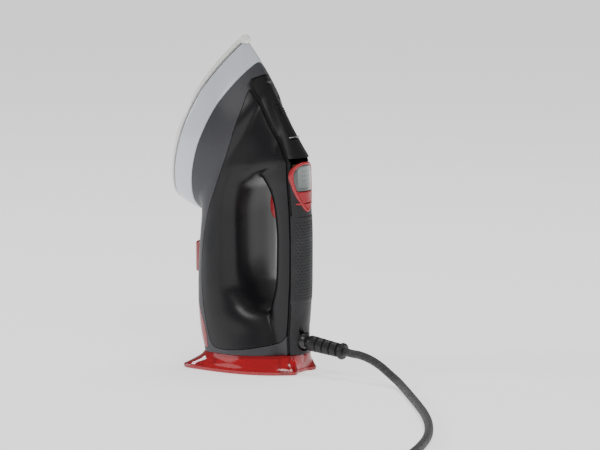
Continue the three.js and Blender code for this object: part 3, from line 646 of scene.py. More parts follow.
def cordPath():
    lead = [onRelief(38), onRelief(45), onRelief(54), *cord["route"]]
    turns = [coilPoint(t) for t in np.arange(0, cord["turns"], 1 / 40)]
    end = coilPoint(cord["turns"])
    tail = swung([[x, cord["tailY"], z] for x, z in cord["tail"]])
    entry = [turns[0], turns[1]]
    line = np.vstack([openCurve([*lead, *entry], 8)[:-9], turns, openCurve([end, *tail], 8)])
    return evenly(line, cord["step"])


def tubeAlong(name, path, radius, sides, weave):
    run = np.gradient(path, axis=0)
    run /= np.linalg.norm(run, axis=1, keepdims=True)
    side = np.cross(run[0], [0, 0, 1])
    sideways = []
    for direction in run:  # carries the first side along without twist
        side = side - direction * side.dot(direction)
        side /= np.linalg.norm(side)
        sideways.append(side)
    sideways = np.array(sideways)
    upward = np.cross(run, sideways)
    turn = np.arange(sides) * 2 * math.pi / sides
    rings = path[:, None] + radius * (
        np.cos(turn)[None, :, None] * sideways[:, None] + np.sin(turn)[None, :, None] * upward[:, None])
    length = np.arange(len(path)) * cord["step"] / weave
    uv = []
    for row in range(len(path) - 1):
        for k in range(sides):
            left, right = k / sides, (k + 1) / sides
            here, there = length[row], length[row + 1]
            uv += [(here, left), (here, right), (there, right), (there, left)]
    for row in (0, -1):
        uv += [(length[row], 0.5)] * sides
    return ringMesh(name, rings, uv=uv)


def makeCord():
    path, length = cordPath()
    made = tubeAlong("cord", path, cord["radius"], cord["sides"], cord["weave"])
    present(made, "cord", "cord_coil", "cord_tail", angle=60)
    made.name = "mains_cord"
    return made, path, length


def makeRelief():
    profile = [(4.4, 0.4), (4.4, 4.5), (8.6, 4.5), (8.8, 5.9), (9.3, 6.6), (10, 6.9)]
    for rib in range(4):
        start = 12 + rib * 7.2
        r = 6.9 - rib * 0.2
        profile += [(start + 0.2, r), (start + 4.9, r), (start + 5.35, r - 0.35), (start + 5.5, r - 1.5),
                    (start + 6.7, r - 1.5), (start + 6.9, r - 0.4), (start + 7.2, r - 0.1)]
    profile += [(40.9, 6), (41.6, 6.5), (42.3, 7.15), (43.2, 7.4), (44.8, 7.35), (45.6, 6.9), (46, 6),
                (46, 3.4)]
    return present(turned(cord["ball"], reliefAlong, profile, 64), "strain_relief", angle=50)


def makeCordBall():
    made = ball(cord["ball"], (8.2, 8.2, 8.2), 40, 72)
    cutOut(made, rod(onRelief(4), onRelief(20), 5, 5, 48))
    return present(soften(made, 0.5), "cord_ball")


tie = {"angle": math.radians(150), "half": 5.0, "thick": 0.8, "middle": 36.0, "wide": 29.3, "tall": 15.0}


def makeTie():  # a strap round the coil's section
    reach, rise = tie["wide"] / 2, tie["tall"] / 2
    section = np.array([[-reach, -rise], [reach, -rise], [reach, rise], [-reach, rise]])
    loop = np.vstack([np.linspace(a, b, 12)[:-1] for a, b in zip(section, np.roll(section, -1, axis=0))])
    for _ in range(3):
        loop = (np.roll(loop, 1, axis=0) + loop * 2 + np.roll(loop, -1, axis=0)) / 4
    outward = offsetLine(loop, -tie["thick"], closed=True)
    across = tie["half"]
    rings = []
    for inner, outer in zip(loop, outward):
        rings.append([(inner[0], -across, inner[1]), (outer[0], -across, outer[1]),
                      (outer[0], across, outer[1]), (inner[0], across, inner[1])])
    rings = np.array(rings)
    rings[:, :, 0] += tie["middle"]
    rings[:, :, 2] += 8.15
    turn = np.array([[math.cos(tie["angle"]), math.sin(tie["angle"]), 0],
                     [-math.sin(tie["angle"]), math.cos(tie["angle"]), 0], [0, 0, 1]])
    rings = rings @ turn + [cord["coil"][0], cord["coil"][1], 0]
    made = ringMesh("tie", rings, capped=False)
    return present(soften(made, 0.25), "cord_tie")


plug = {"entry": np.array([227, -391.65, 9.5]), "length": 46, "half": 25, "thick": 17.0, "round": 2.6,
        "pins": {"pin_earth": (37.5, 0, 4, 2, 22.7), "pin_live": (15.3, 11.1, 2, 3.2, 17.7),
                 "pin_neutral": (15.3, -11.1, 2, 3.2, 17.7)}}


def plugOutline():
    length, half = plug["length"], plug["half"]
    knots = [[0, 0], [0, -12], [-1.6, -21], [-9, -half], [-20, -half], [-31, -half + 1.2], [-40, -half + 8],
             [-length, -8], [-length, 0]]
    return closedCurve(np.vstack([knots, [[x, -y] for x, y in knots[-2:0:-1]]]), 144)


def makePlug():
    outline = plugOutline()[::-1]
    radius = plug["round"]
    base, top = 0.15, 0.15 + plug["thick"]
    steps = np.radians([0, 22, 45, 68, 90])
    profile = [(base + radius * (1 - math.sin(a)), radius * (1 - math.cos(a))) for a in steps[::-1]]
    profile += [(top - radius * (1 - math.sin(a)), radius * (1 - math.cos(a))) for a in steps]
    rings = [np.column_stack([offsetLine(outline, depth, closed=True), np.full(len(outline), z)])
             for z, depth in profile]
    made = ringMesh("plug", np.array(rings) + [plug["entry"][0] - 3, plug["entry"][1], 0])
    sleeve = turned(plug["entry"] - [7, 0, 0], (1, 0, 0),
                    [(0, 6.6), (3.6, 6.5), (4.4, 6.1), (6.2, 5.6), (7, 5.1)], 48, "sleeve")
    joinOn(made, sleeve)
    x0, y0 = plug["entry"][0] - 3, plug["entry"][1]
    tools = []
    for back, side, along, across, height in plug["pins"].values():
        tools.append(block(x0 - back - along - 0.3, x0 - back + along + 0.3, y0 + side - across - 0.3,
                           y0 + side + across + 0.3, 10.8, 40))
    for rib in range(4):  # grip grooves down both sides
        for side in (-1, 1):
            x, y = x0 - 14 - rib * 4.4, y0 + side * (plug["half"] + 0.4)
            tools.append(rod((x, y, -1), (x, y, 30), 1.1))
    tools.append(turned((x0 - 24, y0, 14.6), (0, 0, 1), [(0, 3.1), (9, 3.1)], 40))  # screw well
    cutOut(made, *tools)
    return present(swingPiece(soften(made, 0.2, 2, 50)), "plug_body")


def makePin(name):
    back, side, along, across, height = plug["pins"][name]
    x, y = plug["entry"][0] - 3 - back, plug["entry"][1] + side
    made = block(x - along, x + along, y - across, y + across, 11.1, 17.1 + height)
    return present(swingPiece(soften(made, 0.7, 3)), name)


mainsCord, cordLine, cordLength = makeCord()
cordPieces = [makeRelief(), makeCordBall(), makeTie(), makePlug(), *(makePin(name) for name in plug["pins"])]
stageNote(f"cord, {cordLength / 1000:.3f} m")

# The head's own frame
head = {
    "tilt": math.radians(21), "nose": np.array([-7, 0, 295.5]), "soleThickness": 3.2,
    "skirtBottom": 5.2, "skirtTop": 24, "steps": 168,
    "outlines": [
        (0, [[0, 0], [4, 7.5], [14, 18.5], [26, 30], [48, 45.5], [82, 54.5], [105, 53], [127, 46.5],
             [146, 34.5], [156, 17], [158, 0]]),
        (24, [[15, 0], [18.5, 8], [26, 18.5], [36, 29.5], [56, 45.5], [84, 53.8], [104, 53.2], [125, 47],
              [145, 34], [157, 16], [161, 0]]),
        (46, [[31, 0], [33.5, 6], [39, 14], [48, 24], [64, 36.5], [84, 43.5], [104, 44], [122, 40],
              [138, 31], [148, 16], [151, 0]]),
    ],
}
headAxes = np.array([
    [-math.sin(head["tilt"]), 0, -math.cos(head["tilt"])],
    [0, 1, 0],
    [math.cos(head["tilt"]), 0, -math.sin(head["tilt"])],
])


def inHead(points):  # station along the sole, width, height above the sole face
    return head["nose"] + np.asarray(points, float) @ headAxes


def headRing(h, depth=0.0, steps=None):
    heights = [row[0] for row in head["outlines"]]
    shapes = np.array([row[1] for row in head["outlines"]], float)
    half = 0
    for k in range(3):
        others = [heights[j] for j in range(3) if j != k]
        weight = (h - others[0]) * (h - others[1]) / ((heights[k] - others[0]) * (heights[k] - others[1]))
        half = half + weight * shapes[k]
    flat = inset(fullOutline(half, steps or head["steps"]), depth)
    return inHead(np.column_stack([flat, np.full(len(flat), h)]))


def headLoft(profile, name="head", steps=None):  # profile is [height, inset]
    return ringMesh(name, [headRing(h, depth, steps) for h, depth in profile])


def headRod(s, w, h0, h1, r0, r1=None, sides=20):
    return rod(inHead([s, w, h0]), inHead([s, w, h1]), r0, r1, sides)


# The outer skin
body = {
    "rows": [
        (17, [[-29, 0], [-28, 26], [-21, 38.5], [-2, 42], [12, 41], [30, 33], [42, 22], [50, 0]]),
        (34, [[-33.5, 0], [-31.5, 28], [-24, 40], [-8, 43.5], [6, 42], [24, 33.5], [38, 20], [46, 0]]),
        (50, [[-35.5, 0], [-33, 29], [-25.5, 41], [-11, 45], [2, 43], [18, 35], [32, 18], [39, 0]]),
        (62, [[-36, 0], [-33.5, 29], [-26, 41.5], [-13, 45.5], [-1, 43.5], [11, 35], [20, 18], [24, 0]]),
        (78, [[-36, 0], [-33.5, 29], [-26, 41.5], [-14, 46], [-3, 44], [6, 34], [11.5, 17], [13.5, 0]]),
        (104, [[-34.8, 0], [-32.5, 29], [-25, 41.5], [-14, 46], [-4, 44], [5.5, 34], [9, 18], [9.5, 0]]),
        (140, [[-31.5, 0], [-30, 27], [-24, 39], [-14, 44.5], [-3, 43.5], [5.5, 34], [8.6, 18], [9, 0]]),
        (162, [[-36, 0], [-34, 25], [-28, 37], [-10, 44.8], [0, 42.5], [7, 34], [11.5, 18], [12.5, 0]]),
        (174, [[-36, 0], [-34, 25], [-26, 37], [-6, 44.5], [4, 41], [13, 31.5], [22, 18], [26, 0]]),
        (186, [[-36, 0], [-34, 25], [-24, 37], [-2, 43.5], [8, 38.5], [20, 28], [40, 19.5], [52, 0]]),
        (210, [[-36, 0], [-33, 24], [-20, 36], [2, 41.5], [10, 34.5], [19, 26.5], [38, 15.5], [46, 0]]),
        (234, [[-26, 0], [-24, 18], [-13, 29], [4, 31], [11, 25.5], [16, 20.5], [28, 12], [32, 0]]),
        (256, [[-12, 0], [-11, 8], [-4, 13.5], [6, 13.5], [10, 11.5], [13, 9.5], [18, 7], [20.6, 0]]),
    ],
    "steps": 128, "layer": 2.0, "bottom": 12.0,
}
crown = {"bend": 190.5, "depth": 8.0, "end": 83.0, "grooveWidth": 2.6}
handle = {
    "rows": [  # height, underside, top, half width
        (17, 36, 60.8, 17.2), (36, 34, 60.4, 17.6), (52, 32, 61.8, 17.6), (82, 38.2, 63.4, 17.4),
        (117, 39, 63.6, 17.2), (143, 37, 62.7, 17.4), (160, 32.6, 61.6, 17.8), (172, 25, 60.9, 18.4),
        (190.5, 12, 60.4, 18.2), (203, 8, 52.9, 15.4), (226, 4, 39.1, 11.6), (256.5, 2, 21, 7.4),
    ],
    "steps": 112, "layer": 1.5,
}
skinMake = {"voxel": 1.0, "rounds": 22, "wall": 2.3, "innerVoxel": 1.5, "heelTop": 17.3}
spineStart = np.array([60.4, 190.5])
spineEnd = np.array([20.8, 256.8])
spineAlong = (spineEnd - spineStart) / np.linalg.norm(spineEnd - spineStart)
spineOut = np.array([spineAlong[1], -spineAlong[0]])


def bodyRings():
    heights = [row[0] for row in body["rows"]]
    values = np.array([np.ravel(row[1]) for row in body["rows"]])
    at = np.arange(heights[0], heights[-1], body["layer"])
    shapes = throughRows(heights, values, at).reshape(len(at), -1, 2)
    rings = [np.column_stack([fullOutline(half, body["steps"]), np.full(body["steps"], z)])
             for z, half in zip(at, shapes)]
    return [rings[0] + [0, 0, body["bottom"] - heights[0]], *rings]


def handleHalf(under, top, half):
    return [[under, 0], [under, half - 4], [under + 2.5, half - 1], [under + 7, half],
            [top - crown["depth"], half - 1.6], [top - 3.2, half * 0.62], [top - 0.8, half * 0.3], [top, 0]]


def handleRow(z):
    heights = np.array([row[0] for row in handle["rows"]])
    values = np.array([row[1:] for row in handle["rows"]])
    bendAt = list(heights).index(crown["bend"])
    low = z <= crown["bend"]
    part = slice(0, bendAt + 1) if low else slice(bendAt, None)
    return throughRows(heights[part], values[part], np.array([z]))[0]


def handleRings():
    at = np.arange(handle["rows"][0][0], handle["rows"][-1][0], handle["layer"])
    rings = [np.column_stack([fullOutline(handleHalf(*handleRow(z)), handle["steps"]),
                              np.full(handle["steps"], z)]) for z in at]
    return [rings[0] + [0, 0, body["bottom"] - handle["rows"][0][0]], *rings]


def crownX(y, z):  # the outer face of the handle, looking along X
    outline = fullOutline(handleHalf(*handleRow(z)), 160)
    front = outline[outline[:, 0] > handleRow(z)[1] - crown["depth"] - 1]
    order = np.argsort(front[:, 1])
    return np.interp(y, front[order, 1], front[order, 0])


def makeSkin():
    straight = [(h, 0) for h in (19, 24, 28, 32, 36, 40, 43)]
    made = headLoft([*straight, (46, 0.4), (48, 2), (49.5, 5)])
    joinOn(made, ringMesh("body", bodyRings()), ringMesh("handle", handleRings()))
    remesh(made, skinMake["voxel"], skinMake["rounds"])
    inner = copyOf(made, "inner")
    addModifier(inner, "DISPLACE", {"strength": -skinMake["wall"] / 1000, "mid_level": 0.0})
    settle(inner)
    remesh(inner, skinMake["innerVoxel"], 4)
    return made, inner


skin, skinInner = makeSkin()


def skirtSpace(h):
    corners = [[-60, -60], [162, -60], [162, h], [-60, h]]
    rings = [inHead([[s, w, k] for s, k in corners]) for w in (-80, 80)]
    return ringMesh("skirtSpace", rings)


cutOut(skin, skirtSpace(head["skirtTop"] + 0.4), block(-far, far, -far, far, -5, skinMake["heelTop"]))
shell = combine(copyOf(skin, "shell"), "DIFFERENCE", skinInner, keep=True)
stageNote("skin")

# Seams
seams = {
    "line": [[13.4, 255], [13.5, 246], [13.2, 232], [9.5, 210], [3.5, 190], [-5, 165], [-14, 140], [-19, 112],
             [-20.5, 90], [-19, 62], [-16, 42], [-13.4, 29], [-9.5, 23.2], [-3, 21.4], [14, 21.6], [38, 25.6],
             [46, 28.5], [51, 34], [53.5, 46]],
    "gap": 0.55,
}


def bodyRegion(grow):  # the part of the side that the glossy shell covers
    line = offsetLine(openCurve(seams["line"], 6), -grow)
    return prism([*line.tolist(), [far, line[-1][1]], [far, line[0][1]]])


def grooveLine(shift):
    rows = [(top - crown["depth"], z) for z, _, top, _ in handle["rows"] if z < crown["bend"]]
    rows += [tuple(spineStart - [crown["depth"], 0]), tuple(spineEnd - [crown["depth"], 0])]
    line = [(x + shift, z - 3.2 if z > 180 else z) for x, z in rows]
    return np.array([(line[0][0], 0), *line])


def onSpine(along, out, y=0.0):
    x, z = spineStart + spineAlong * along + spineOut * out
    return np.array([x, y, z])


def spineBlock(a0, a1, y0, y1, o0, o1):
    corners = [(a0, o0), (a1, o0), (a1, o1), (a0, o1)]
    rings = [[onSpine(a, o, y) for a, o in corners] for y in (y0, y1)]
    return ringMesh("spineBlock", rings)


def behindGroove(shift):
    line = grooveLine(shift)
    made = prism([*line.tolist(), [line[-1][0], 4 * far], [far, 4 * far], [far, 0]])
    return cutOut(made, spineBlock(crown["end"] - shift / 2, 400, -far, far, -far, far))


halfGroove = crown["grooveWidth"] / 2
crownShell = within(copyOf(shell, "crownShell"), behindGroove(halfGroove))
frontShell = cutOut(shell, behindGroove(-halfGroove))


# Soleplate and skirt
sole = {"beak": ((3.2, 0, 3.6), (5, 5.6, 4.4)), "holes": [24, 36, 48, 60, 72, 84, 96, 108], "holeRadius": 1.8}


def beak(grow):
    centre, radii = sole["beak"]
    made = ball(centre, [r + grow for r in radii], 32, 56)
    made.data.transform(headMatrix())
    return made


def headMatrix():  # takes a mesh made in the head's frame to its place
    turn = Matrix([list(row) for row in headAxes]).transposed().to_4x4()
    turn.translation = Vector((head["nose"] / 1000).tolist())
    return turn


def makeSoleplate():
    top = head["soleThickness"]
    profile = [(0, 1.1), (0.06, 0.75), (0.25, 0.38), (0.55, 0.13), (0.95, 0), (top - 0.8, 0),
               (top - 0.35, 0.12), (top - 0.1, 0.4), (top, 0.8)]
    made = headLoft(profile, "sole", 240)
    joinOn(made, beak(0))
    holes = []
    for s in sole["holes"]:
        w = min(6 + s * 0.36, 34)
        for side in (-w, w):
            r = sole["holeRadius"]
            holes.append(headRod(s, side, -2, 20, r, r, 28))
            holes.append(headRod(s, side, -0.6, 0.7, r + 1.5, r, 28))
    cutOut(made, *holes)
    return present(made, "soleplate", angle=45)


def makeSkirt():
    low, high = head["skirtBottom"], head["skirtTop"]
    edge = [(0, 0.9), (0.08, 0.5), (0.3, 0.18), (0.75, 0)]
    outer = [(low + up, depth) for up, depth in edge]
    outer += [(h, 0) for h in np.linspace(low + 2, high - 2, 10)]
    outer += [(high - up, depth * 0.6) for up, depth in edge[::-1]]
    made = headLoft(outer, "skirt", 240)
    cutOut(made, headLoft([(h, 2.4) for h in np.linspace(0, 30, 16)], "hollow"), beak(0.45))
    return present(made, "skirt")


makeSoleplate()
makeSkirt()
stageNote("sole and skirt")

# Water tank and latch
tank = {
    "floor": 21.0, "top": 74.0, "half": 33.0, "stopper": -16.0,
    "edge": [[-16.5, 21], [-17, 30], [-18.5, 40], [-22, 50], [-27, 62], [-29, 74]],
}
latch = {"bottom": 86.0, "top": 113.5, "half": 32.0, "front": -41.6, "back": -20.0}


def roundedBlock(x0, x1, y0, y1, z0, z1, radius, segments=4):
    return soften(block(x0, x1, y0, y1, z0, z1), radius, segments)


def tankFace(grow):
    low, high = tank["floor"] - grow, tank["top"] + grow
    edge = openCurve(tank["edge"], 8) + [grow, 0]
    edge[0, 1], edge[-1, 1] = low, high
    return soften(prism([(-far, low), *edge, (-far, high)]), 1.8, 4, 40)


def tankBin(grow, round_=0.0):
    side = tank["half"] + grow
    made = block(-27, 4 + grow, -side, side, tank["floor"] + 1 - grow, tank["top"] - 3 + grow)
    return soften(made, round_, 4) if round_ else made


def makeTank():
    made = within(copyOf(skin, "tank"), tankFace(0))
    joinOn(made, tankBin(0, 3))
    water = roundedBlock(-31, 2, -tank["half"] + 2, tank["half"] - 2, tank["floor"] + 3, tank["top"] - 5, 2.5)
    mouth = rod((tank["stopper"], 0, tank["top"] - 10), (tank["stopper"], 0, far), 6)
    cutOut(made, water, mouth)
    return present(soften(made, 0.3, 2, 60), "water_tank")


def latchOutline(grow):
    side = latch["half"] + grow
    front = latch["front"]
    half = [[front, 0], [front + 0.1, 8], [front + 0.5, 16], [front + 1.2, 23], [front + 2.4, 27.5],
            [front + 4.2, 30.4], [front + 7, side - 0.35], [front + 9.5, side], [latch["back"] - 2, side],
            [latch["back"], side]]
    half = np.array(half) * [1, -1]
    return np.vstack([half, half[:0:-1] * [1, -1]])


def latchSpace(grow):
    outline = latchOutline(grow)
    return ringMesh("latchSpace", [np.column_stack([outline, np.full(len(outline), z)])
                                   for z in (latch["bottom"] - grow, latch["top"] + grow)])


def makeLatch():
    made = soften(latchSpace(0), 2.2, 5, 60)
    side, x = latch["half"] - 3, latch["front"] - 0.55
    cutOut(made, block(-33, -18, -side, side, latch["bottom"] + 3, latch["top"] - 3))
    cutOut(made, *[rod((x, -17, z), (x, 17, z), 1.0) for z in (94, 97.5, 101, 104.5)])
    return present(made, "tank_latch", angle=50)


makeTank()
makeLatch()

# Casing, side shells and groove
tankGap = 0.35
openings = [bodyRegion(0), tankFace(tankGap), tankBin(tankGap), latchSpace(tankGap)]
casing = cutOut(copyOf(frontShell, "casing"), *openings)
present(largest(casing), "casing")

trigger = {
    "pin": (35.2, 163.5), "half": 10.5,
    "outline": [[33.8, 166], [31.4, 162.6], [30.4, 158], [29.4, 149], [30.6, 141], [33.4, 137.4], [37, 136.6],
                [40.8, 137.4], [41.4, 147], [39.2, 158], [37.6, 165.6]],
}
window = roundedBlock(20, 46, -trigger["half"] - 0.5, trigger["half"] + 0.5, 135.6, 167, 1.6)
sideShell = within(copyOf(frontShell, "side"), bodyRegion(-seams["gap"]))
present(largest(cutOut(sideShell, window)), "body_shell")


def makeTrims():
    outer = addModifier(copyOf(skin, "trim"), "DISPLACE", {"strength": -1.5 / 1000, "mid_level": 0.0})
    remesh(settle(outer), 1.1, 2)
    cutOut(outer, copyOf(skinInner, "inner"), behindGroove(halfGroove - 0.25))
    within(outer, behindGroove(0.25 - halfGroove), block(-far, far, -far, far, skinMake["heelTop"], 400))
    for side, name in ((-1, "groove_trim_left"), (1, "groove_trim_right")):
        half = within(copyOf(outer, name), block(-far, far, *sorted((0.5 * side, far * side)), 0, 400))
        present(largest(half), name)
    discard(outer)


makeTrims()


def makeTrigger():
    outline = closedCurve(trigger["outline"], 88)
    steps = np.radians([0, 25, 50, 70, 90])
    rows = [(-trigger["half"] + 1.8 * (1 - math.sin(a)), 1.8 * (1 - math.cos(a))) for a in steps[::-1]]
    rows += [(-y, depth) for y, depth in rows[::-1]]
    rings = []
    for y, depth in rows:
        flat = inset(outline, depth)
        rings.append(np.column_stack([flat[:, 0], np.full(len(flat), y), flat[:, 1]]))
    made = ringMesh("trigger", rings)
    x, z = trigger["pin"]
    cutOut(made, rod((x, -20, z), (x, 20, z), 1.5))
    return present(made, "steam_trigger", angle=50)


makeTrigger()
stageNote("casing and sides")

# Handle cover and its grip
pocket = {"swing": [-20, -13.3, -6.7, 0, 6.7, 13.3, 20], "radius": 7.9}


def ballPocket():
    made = ball(cord["ball"], (8.9, 8.9, 8.9), 30, 56)
    for angle in pocket["swing"]:
        turn = math.radians(angle)
        aim = cord["ball"] + np.array([math.cos(turn) * 26, math.sin(turn) * 26, -2.9])
        joinOn(made, rod(cord["ball"], aim, pocket["radius"], None, 48))
    joinOn(made, rod(cord["ball"] + [3, -4, 6], cord["ball"] + [4.6, -8.6, 17], 3.2, 0.3, 20))
    return made


display = {"top": 187.4, "tail": 143.6, "wide": 15.6, "split": 151.6, "keyTop": 161.8, "ring": 2.3}


def bezier(a, b, c, d, count):
    t = (np.arange(count) / count)[:, None]
    a, b, c, d = (np.array(p, float) for p in (a, b, c, d))
    return (1 - t)**3 * a + 3 * (1 - t)**2 * t * b + 3 * (1 - t) * t**2 * c + t**3 * d


def evenLoop(line, count):
    closed = np.vstack([line, line[:1]])
    along = np.concatenate([[0], np.cumsum(np.linalg.norm(np.diff(closed, axis=0), axis=1))])
    at = np.linspace(0, along[-1], count + 1)[:-1]
    return np.column_stack([np.interp(at, along, closed[:, k]) for k in range(2)])


def teardrop(count=160):  # across and up, seen along X
    top, tail, wide = display["top"], display["tail"], display["wide"]
    right = np.vstack([
        bezier([0, tail], [5, tail], [wide, 161], [wide, 175], 60),
        bezier([wide, 175], [wide, top - 3], [8, top], [0, top], 60)])
    left = right[:0:-1] * [-1, 1]
    return evenLoop(np.vstack([right, [[0, top]], left]), count)


crownTall = np.arange(58, 190.6, 0.5)
crownWide = np.linspace(-17, 17, 137)
crownGrid = np.array([crownX(crownWide, z) for z in crownTall])


def onCrown(flat, height):  # puts points given across and up on the handle's outer face
    y, z = flat[:, 0], flat[:, 1]
    u = np.clip((z - crownTall[0]) / 0.5, 0, len(crownTall) - 1.001)
    v = np.clip((y - crownWide[0]) / (crownWide[1] - crownWide[0]), 0, len(crownWide) - 1.001)
    i, j = u.astype(int), v.astype(int)
    u, v = u - i, v - j
    g = crownGrid
    x = (g[i, j] * (1 - u) * (1 - v) + g[i + 1, j] * u * (1 - v) + g[i, j + 1] * (1 - u) * v
         + g[i + 1, j + 1] * u * v)
    return np.column_stack([x + height, y, z])


def crownPrism(flat):
    rings = [np.column_stack([np.full(len(flat), x), flat]) for x in (44, 80)]
    return ringMesh("crownPrism", rings)


def makeHandleCover():
    low = block(-far, far, -far, far, 0, crown["bend"])
    made = within(copyOf(crownShell, "handleCover"), low)
    cutOut(made, crownPrism(offsetLine(teardrop(), -0.25, closed=True)), ballPocket())
    return present(largest(made), "handle_cover")


grip = {"low": 63.0, "high": 141.0, "reach": 15.3, "pitch": 3.1, "depth": 0.55, "radius": 0.95, "proud": 0.35}


def gripHeight(y, z):
    rowHeight = grip["pitch"] * 0.866
    row = np.round((z - grip["low"]) / rowHeight)
    shift = np.where(row % 2 == 0, 0, grip["pitch"] / 2)
    column = np.round((y - shift) / grip["pitch"])
    away = np.hypot(y - shift - column * grip["pitch"], z - grip["low"] - row * rowHeight)
    dimple = np.clip(1 - (away / grip["radius"])**2, 0, 1)
    length = (z - grip["low"]) / (grip["high"] - grip["low"])
    side = grip["reach"] - np.abs(y)
    edge = np.minimum.reduce([(z - grip["low"]) / 2.2, (grip["high"] - z) / 2.2, side / 1.6])
    edge = np.clip(edge, 0, 1)
    inside = glide(np.minimum.reduce([length * 30, (1 - length) * 30, side * 0.8]), 1, 2.4)
    return -0.5 + (grip["proud"] + 0.5) * edge * (2 - edge) - grip["depth"] * dimple * inside


def makeGrip():  # soft pad let into the handle's outer face
    y = np.linspace(-grip["reach"], grip["reach"], 101)
    z = np.linspace(grip["low"], grip["high"], 241)
    rows = [np.column_stack([y, np.full(len(y), height)]) for height in z]
    grid = np.array([onCrown(row, gripHeight(*row.T)) for row in rows])
    back = np.array([onCrown(row, -0.9) for row in rows])
    rings = np.concatenate([grid, back[:, ::-1]], axis=1)
    return addDetail(ringMesh("grip", rings), "grip_pad", "handle_cover")


makeHandleCover()
makeGrip()
stageNote("handle cover")

# Display and keys


def makeBezel():
    outline = teardrop()
    wide = display["ring"]
    profile = [(0, -1.6), (0, 0.2), (0.12, 0.5), (0.45, 0.78), (wide * 0.5, 0.9), (wide - 0.45, 0.78),
               (wide - 0.12, 0.5), (wide, 0.2), (wide, -1.6)]
    rings = [onCrown(offsetLine(outline, depth, closed=True), height) for depth, height in profile]
    return present(ringMesh("bezel", rings, capped=False), "display_bezel", angle=60)


def clipped(z0, z1, count=120):  # the part of the teardrop inside its ring between two heights
    flat = offsetLine(teardrop(400), display["ring"] + 0.25, closed=True)
    flat[:, 1] = np.clip(flat[:, 1], z0, z1)
    return evenLoop(flat, count)


def eased(loop, rounds):  # rounds the corners of a closed line
    for _ in range(rounds):
        loop = (np.roll(loop, 1, axis=0) + loop * 2 + np.roll(loop, -1, axis=0)) / 4
    return loop


def plate(name, outline, height, rounding, thick=1.8):  # follows the handle's face, with soft edges
    centre = (outline.min(axis=0) + outline.max(axis=0)) / 2
    shares = np.linspace(0.08, 1, 7)
    rings = [onCrown(centre + (outline - centre) * share, height - thick) for share in shares]
    for angle in np.radians([0, 30, 60, 90]):
        edge = offsetLine(outline, rounding * (1 - math.cos(angle)), closed=True)
        rings.append(onCrown(edge, height - rounding * (1 - math.sin(angle))))
    top = offsetLine(outline, rounding, closed=True)
    rings += [onCrown(centre + (top - centre) * share, height) for share in shares[-2::-1]]
    return ringMesh(name, rings)


def makeDisplay():
    screen = eased(clipped(display["keyTop"] + 0.4, 190), 3)
    upper = eased(clipped(display["split"] + 0.3, display["keyTop"] - 0.25), 2)
    lower = eased(clipped(140, display["split"] - 0.3), 4)
    present(plate("screen", screen, 0.3, 0.35), "display_lens", angle=60)
    present(plate("upper", upper, 0.55, 0.55), "key_up", angle=60)
    present(plate("lower", lower, 0.8, 0.55), "key_down", angle=60)


makeBezel()
makeDisplay()
stageNote("display")

# Spine, flap and nozzle
flap = {"start": 20.0, "end": 54.0, "half": 5.4, "ridges": (45, 47.2, 49.4)}
spine = {"sunk": 0.55, "nozzle": 77.0}


def flapBlock(grow):
    side = flap["half"] + grow
    return spineBlock(flap["start"] - 2 * grow, flap["end"] + grow, -side, side, -6, 4)


def makeSpine():
    low = copyOf(skin, "spine")
    addModifier(low, "DISPLACE", {"strength": -spine["sunk"] / 1000, "mid_level": 0.0})
    settle(low)
    remesh(low, 0.9, 2)
    within(low, behindGroove(halfGroove), block(-far, far, -far, far, crown["bend"] + 0.3, 400))
    cutOut(low, copyOf(skinInner, "inner"))
    largest(low)
    lid = within(copyOf(low, "flap"), flapBlock(0))
    hinge = onSpine(flap["start"] + 1.6, -1.3)
    pinHole = [rod(hinge - [0, 7, 0], hinge + [0, 7, 0], r, None, 24) for r in (0.75, 0.9)]
    cutOut(lid, pinHole[0])
    for along in flap["ridges"]:
        joinOn(lid, rod(onSpine(along, -0.45, -3.4), onSpine(along, -0.45, 3.4), 0.55, None, 16))
    hole = rod(onSpine(spine["nozzle"], -8), onSpine(spine["nozzle"], 4), 2.9)
    cutOut(low, flapBlock(0.35), pinHole[1], hole)
    present(largest(low), "spine_cover")
    present(largest(lid), "filler_flap")


def makeNozzle():
    along = np.array([spineOut[0], 0, spineOut[1]])
    profile = [(0, 2.5), (5.6, 2.55), (6, 2.3), (6.4, 2.1), (7.2, 1.7), (7.6, 1.3), (7.6, 0.5), (6.8, 0.4),
               (6.8, 0.05)]
    return present(turned(onSpine(spine["nozzle"], -6), along, profile, 40), "spray_nozzle", angle=45)


makeSpine()
makeNozzle()
stageNote("spine")

# Translucent heel
heel = {
    "outline": [[-45, 0], [-45, 20], [-44.2, 40], [-41.2, 43], [-20, 44.2], [4, 43], [24, 39], [43, 30.6],
                [57.4, 19.6], [60.4, 16.4], [60, 11], [57.8, 8], [57.6, 0]],
    "waist": [[-30, 0], [-29.6, 20], [-28, 29], [-21, 38.3], [-12, 41], [-2, 41.8], [13, 40], [30, 32.4],
              [44, 24], [52.6, 17.6], [56.4, 14], [59, 8.4], [59.4, 0]],
    "flare": [(4, 0), (6, 0.22), (9, 0.52), (12.5, 0.8), (17, 1)],
    "top": 17.0, "steps": 220, "feet": [(-34, 30), (-34, -30), (49, 17), (49, -17)],
    "screws": [(8, 24), (8, -24)],
}


